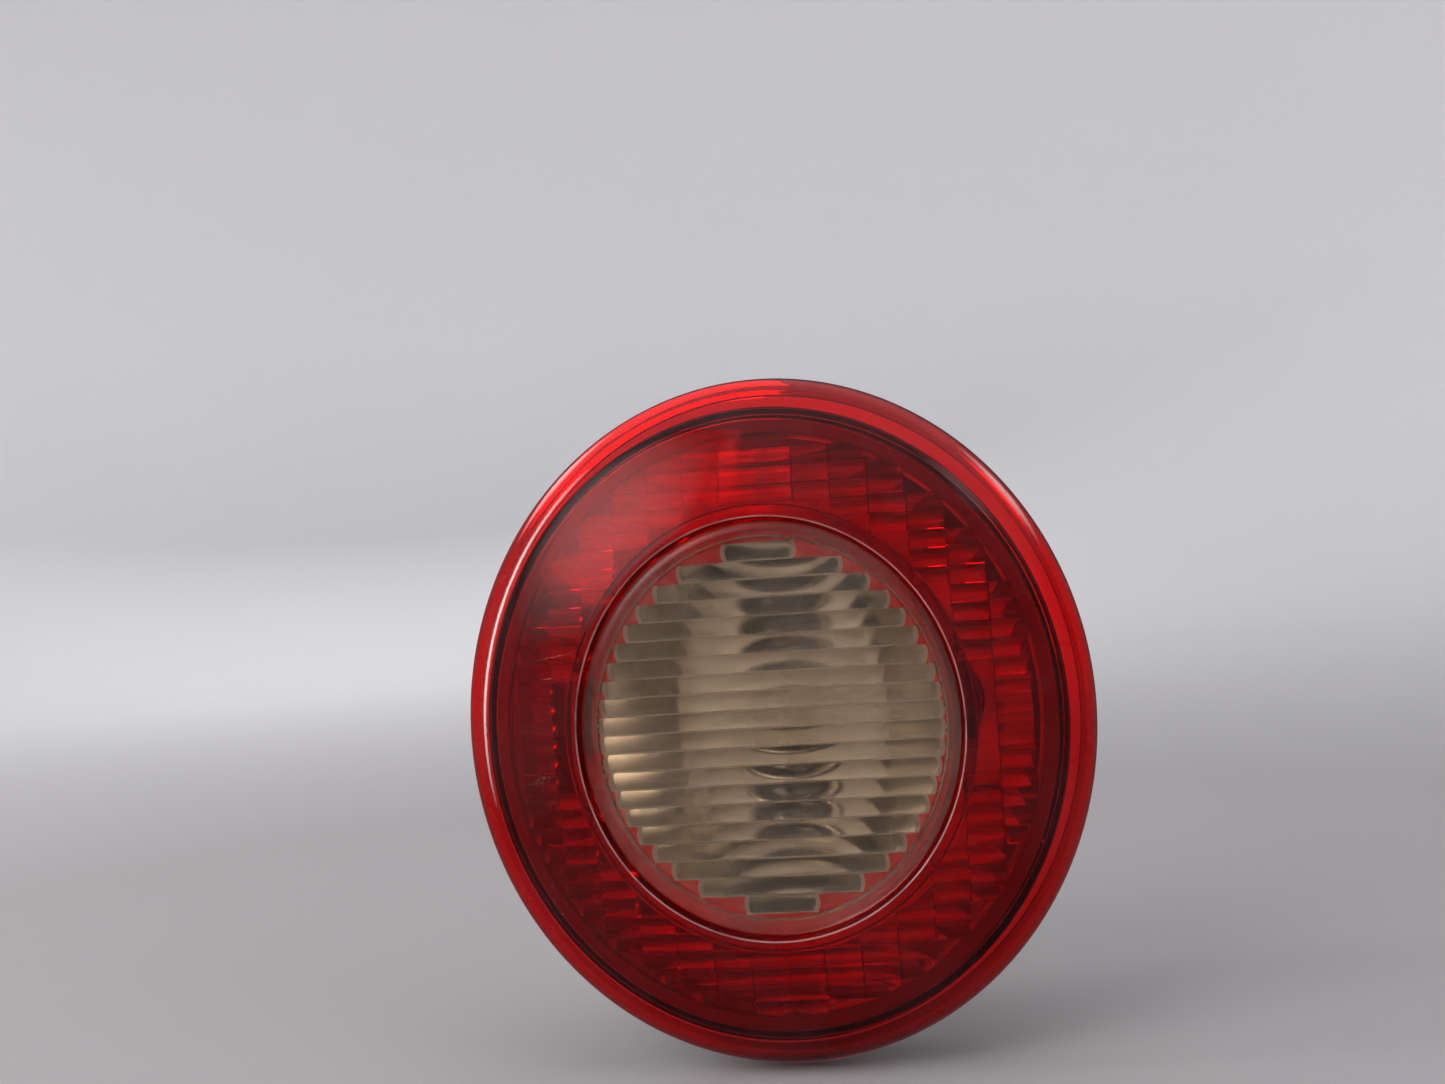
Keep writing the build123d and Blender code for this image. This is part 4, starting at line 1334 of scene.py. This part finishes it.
@dataclass(frozen=True)
class GlowCard:
    """A glowing card with soft edges, unseen itself, that gives the plastic its broad highlights."""

    name: str
    spot: Spot
    width: float
    height: float
    strength: float

    def build(self) -> None:
        """Adds the card."""
        mesh = bpy.data.meshes.new(self.name)
        wide, high = self.width / 2, self.height / 2
        corners = [(-wide, -high, 0), (wide, -high, 0), (wide, high, 0), (-wide, high, 0)]
        mesh.from_pydata(corners, [], [(0, 1, 2, 3)])
        card = bpy.data.objects.new(self.name, mesh)
        card.location = self.spot
        card.rotation_euler = (AIM - Vector(self.spot)).to_track_quat("Z", "Y").to_euler()
        bpy.context.scene.collection.objects.link(card)
        material, tree, principled, output = shader(f"{self.name}_glow")
        tree.nodes.remove(principled)
        x, y, _ = own_place(tree)
        across = x / wide
        along = y / high
        fade = (1.0 - across * across) * (1.0 - along * along)
        glow = add_node(tree, "ShaderNodeEmission", {"Strength": fade.op("MAXIMUM", 0.0) * self.strength})
        tree.links.new(glow.outputs[0], output.inputs["Surface"])
        mesh.materials.append(material)
        card.visible_camera = False


AIM = Vector((0, -0.03, 0))
SOFTBOXES = (
    Softbox("key_softbox", (-1.0, -1.5, 1.2), 1.3, 24.0, "#fdfbff"),
    Softbox("top_softbox", (0.1, -0.5, 1.9), 1.6, 11.0, "#fbfbff"),
    Softbox("right_fill", (1.5, -0.9, 0.6), 1.0, 6.0, "#f6f8ff"),
    Softbox("back_fill", (-0.6, 1.5, 0.9), 1.0, 9.0, "#ffffff"),
)
GLOW_CARDS = (
    GlowCard("upper_left_card", (-1.25, -1.7, 0.95), 1.5, 1.5, 1.7),
    GlowCard("right_card", (1.5, -1.7, 1.5), 0.9, 0.9, 1.3),
    GlowCard("back_right_card", (1.7, 1.5, 1.3), 1.2, 0.8, 3.0),
    GlowCard("back_left_card", (-1.7, 1.5, 1.3), 1.2, 0.8, 3.0),
    GlowCard("left_card", (-1.1, -0.25, 0.3), 0.2, 1.4, 14.0),
)


@dataclass
class Studio:
    """Pale floor that curves up into a backdrop all round, soft lights and the camera."""

    floor_level: float = -0.0962
    flat_radius: float = 1.5
    bend: float = 1.0
    wall: float = 1.6
    near_shade_colour: str = "#9a9898"
    far_colour: str = "#e6e5e7"
    air_colour: str = "#e8e8ee"
    lens_mm: float = 44.8
    sensor_mm: float = 36.0
    eye: Spot = (0.061, -0.5395, 0.053)
    ahead: Spot = (-0.145, 0.989, -0.005)
    upward: Spot = (0.069, 0.015, 0.998)

    def build(self) -> None:
        """Builds the camera and the surroundings."""
        self.camera()
        self.floor()
        for part in (*SOFTBOXES, *GLOW_CARDS):
            part.build()
        bpy.context.scene.view_settings.view_transform = "Standard"
        self.air()

    def floor(self) -> None:
        """Builds the floor with painted shade: darker near the lamp, paler where it rises."""
        flat, bend = self.flat_radius / MM, self.bend / MM
        profile = [(0.0, 0.0), (flat, 0.0), *arc((flat, bend), bend, -90, 0, 16)[1:]]
        profile += [(flat + bend, bend + self.wall / MM)]
        mesh = lathe("studio_floor", profile, 1.0, 96, closed=False)
        upright = Matrix.Rotation(math.radians(-90), 4, "X")
        mesh.transform(Matrix.Translation((0, 0, self.floor_level)) @ upright)
        mesh.flip_normals()
        floor = bpy.data.objects.new("studio_floor", mesh)
        bpy.context.scene.collection.objects.link(floor)
        material, tree, principled, _ = shader("pale_matt_paint")
        own = add_node(tree, "ShaderNodeTexCoord").outputs["Object"]
        away = add_node(tree, "ShaderNodeVectorMath", {0: own}, operation="LENGTH")
        clouds = pattern(tree, 400.0) * 0.1 - 0.05
        # Painted shade: the floor is darker round the lamp and fades to pale with distance.
        reach = (Term(tree, away.outputs["Value"]) + clouds).ramp(0.0, 1.0, 0.5, 2.4)
        shades = {0: reach, 6: srgb(self.near_shade_colour), 7: srgb(self.far_colour)}
        colour = add_node(tree, "ShaderNodeMix", shades, data_type="RGBA")
        tree.links.new(colour.outputs[2], principled.inputs["Base Color"])
        principled.inputs["Roughness"].default_value = 0.85
        mesh.materials.append(material)
        floor.visible_glossy = False

    def air(self) -> None:
        """Builds the air: dim to the sides, so that the gloss stays dark, and bright overhead."""
        world = bpy.data.worlds.new("studio_air")
        bpy.context.scene.world = world
        world.use_nodes = True
        tree = world.node_tree
        way = add_node(tree, "ShaderNodeTexCoord").outputs["Generated"]
        upward = Term(tree, add_node(tree, "ShaderNodeSeparateXYZ", {0: way}).outputs[2])
        background = tree.nodes["Background"]
        background.inputs["Color"].default_value = srgb(self.air_colour)
        tree.links.new(upward.ramp(0.07, 0.45, 0.35, 0.75).socket, background.inputs["Strength"])

    def camera(self) -> None:
        """Adds the camera: nearly square on to the lens, a little from the right and rolled."""
        data = bpy.data.cameras.new("camera")
        data.lens = self.lens_mm
        data.sensor_width = self.sensor_mm
        data.clip_start = 0.01
        view = bpy.data.objects.new("camera", data)
        bpy.context.scene.collection.objects.link(view)
        ahead = Vector(self.ahead).normalized()
        up = Vector(self.upward)
        up = (up - ahead * up.dot(ahead)).normalized()
        turn = Matrix((ahead.cross(up), up, -ahead)).transposed().to_4x4()
        view.matrix_world = Matrix.Translation(self.eye) @ turn
        bpy.context.scene.camera = view


def main() -> None:
    """Builds the lamp's looks."""
    logging.basicConfig(level=logging.INFO, format="%(message)s")
    Studio().build()
    ring = RedRing()
    for part in (ring, ClearDisc(ring), PrismRing(ring), Studs(), BulbFilaments(), CarriedOver()):
        part.build()


if __name__ == "__main__":
    main()
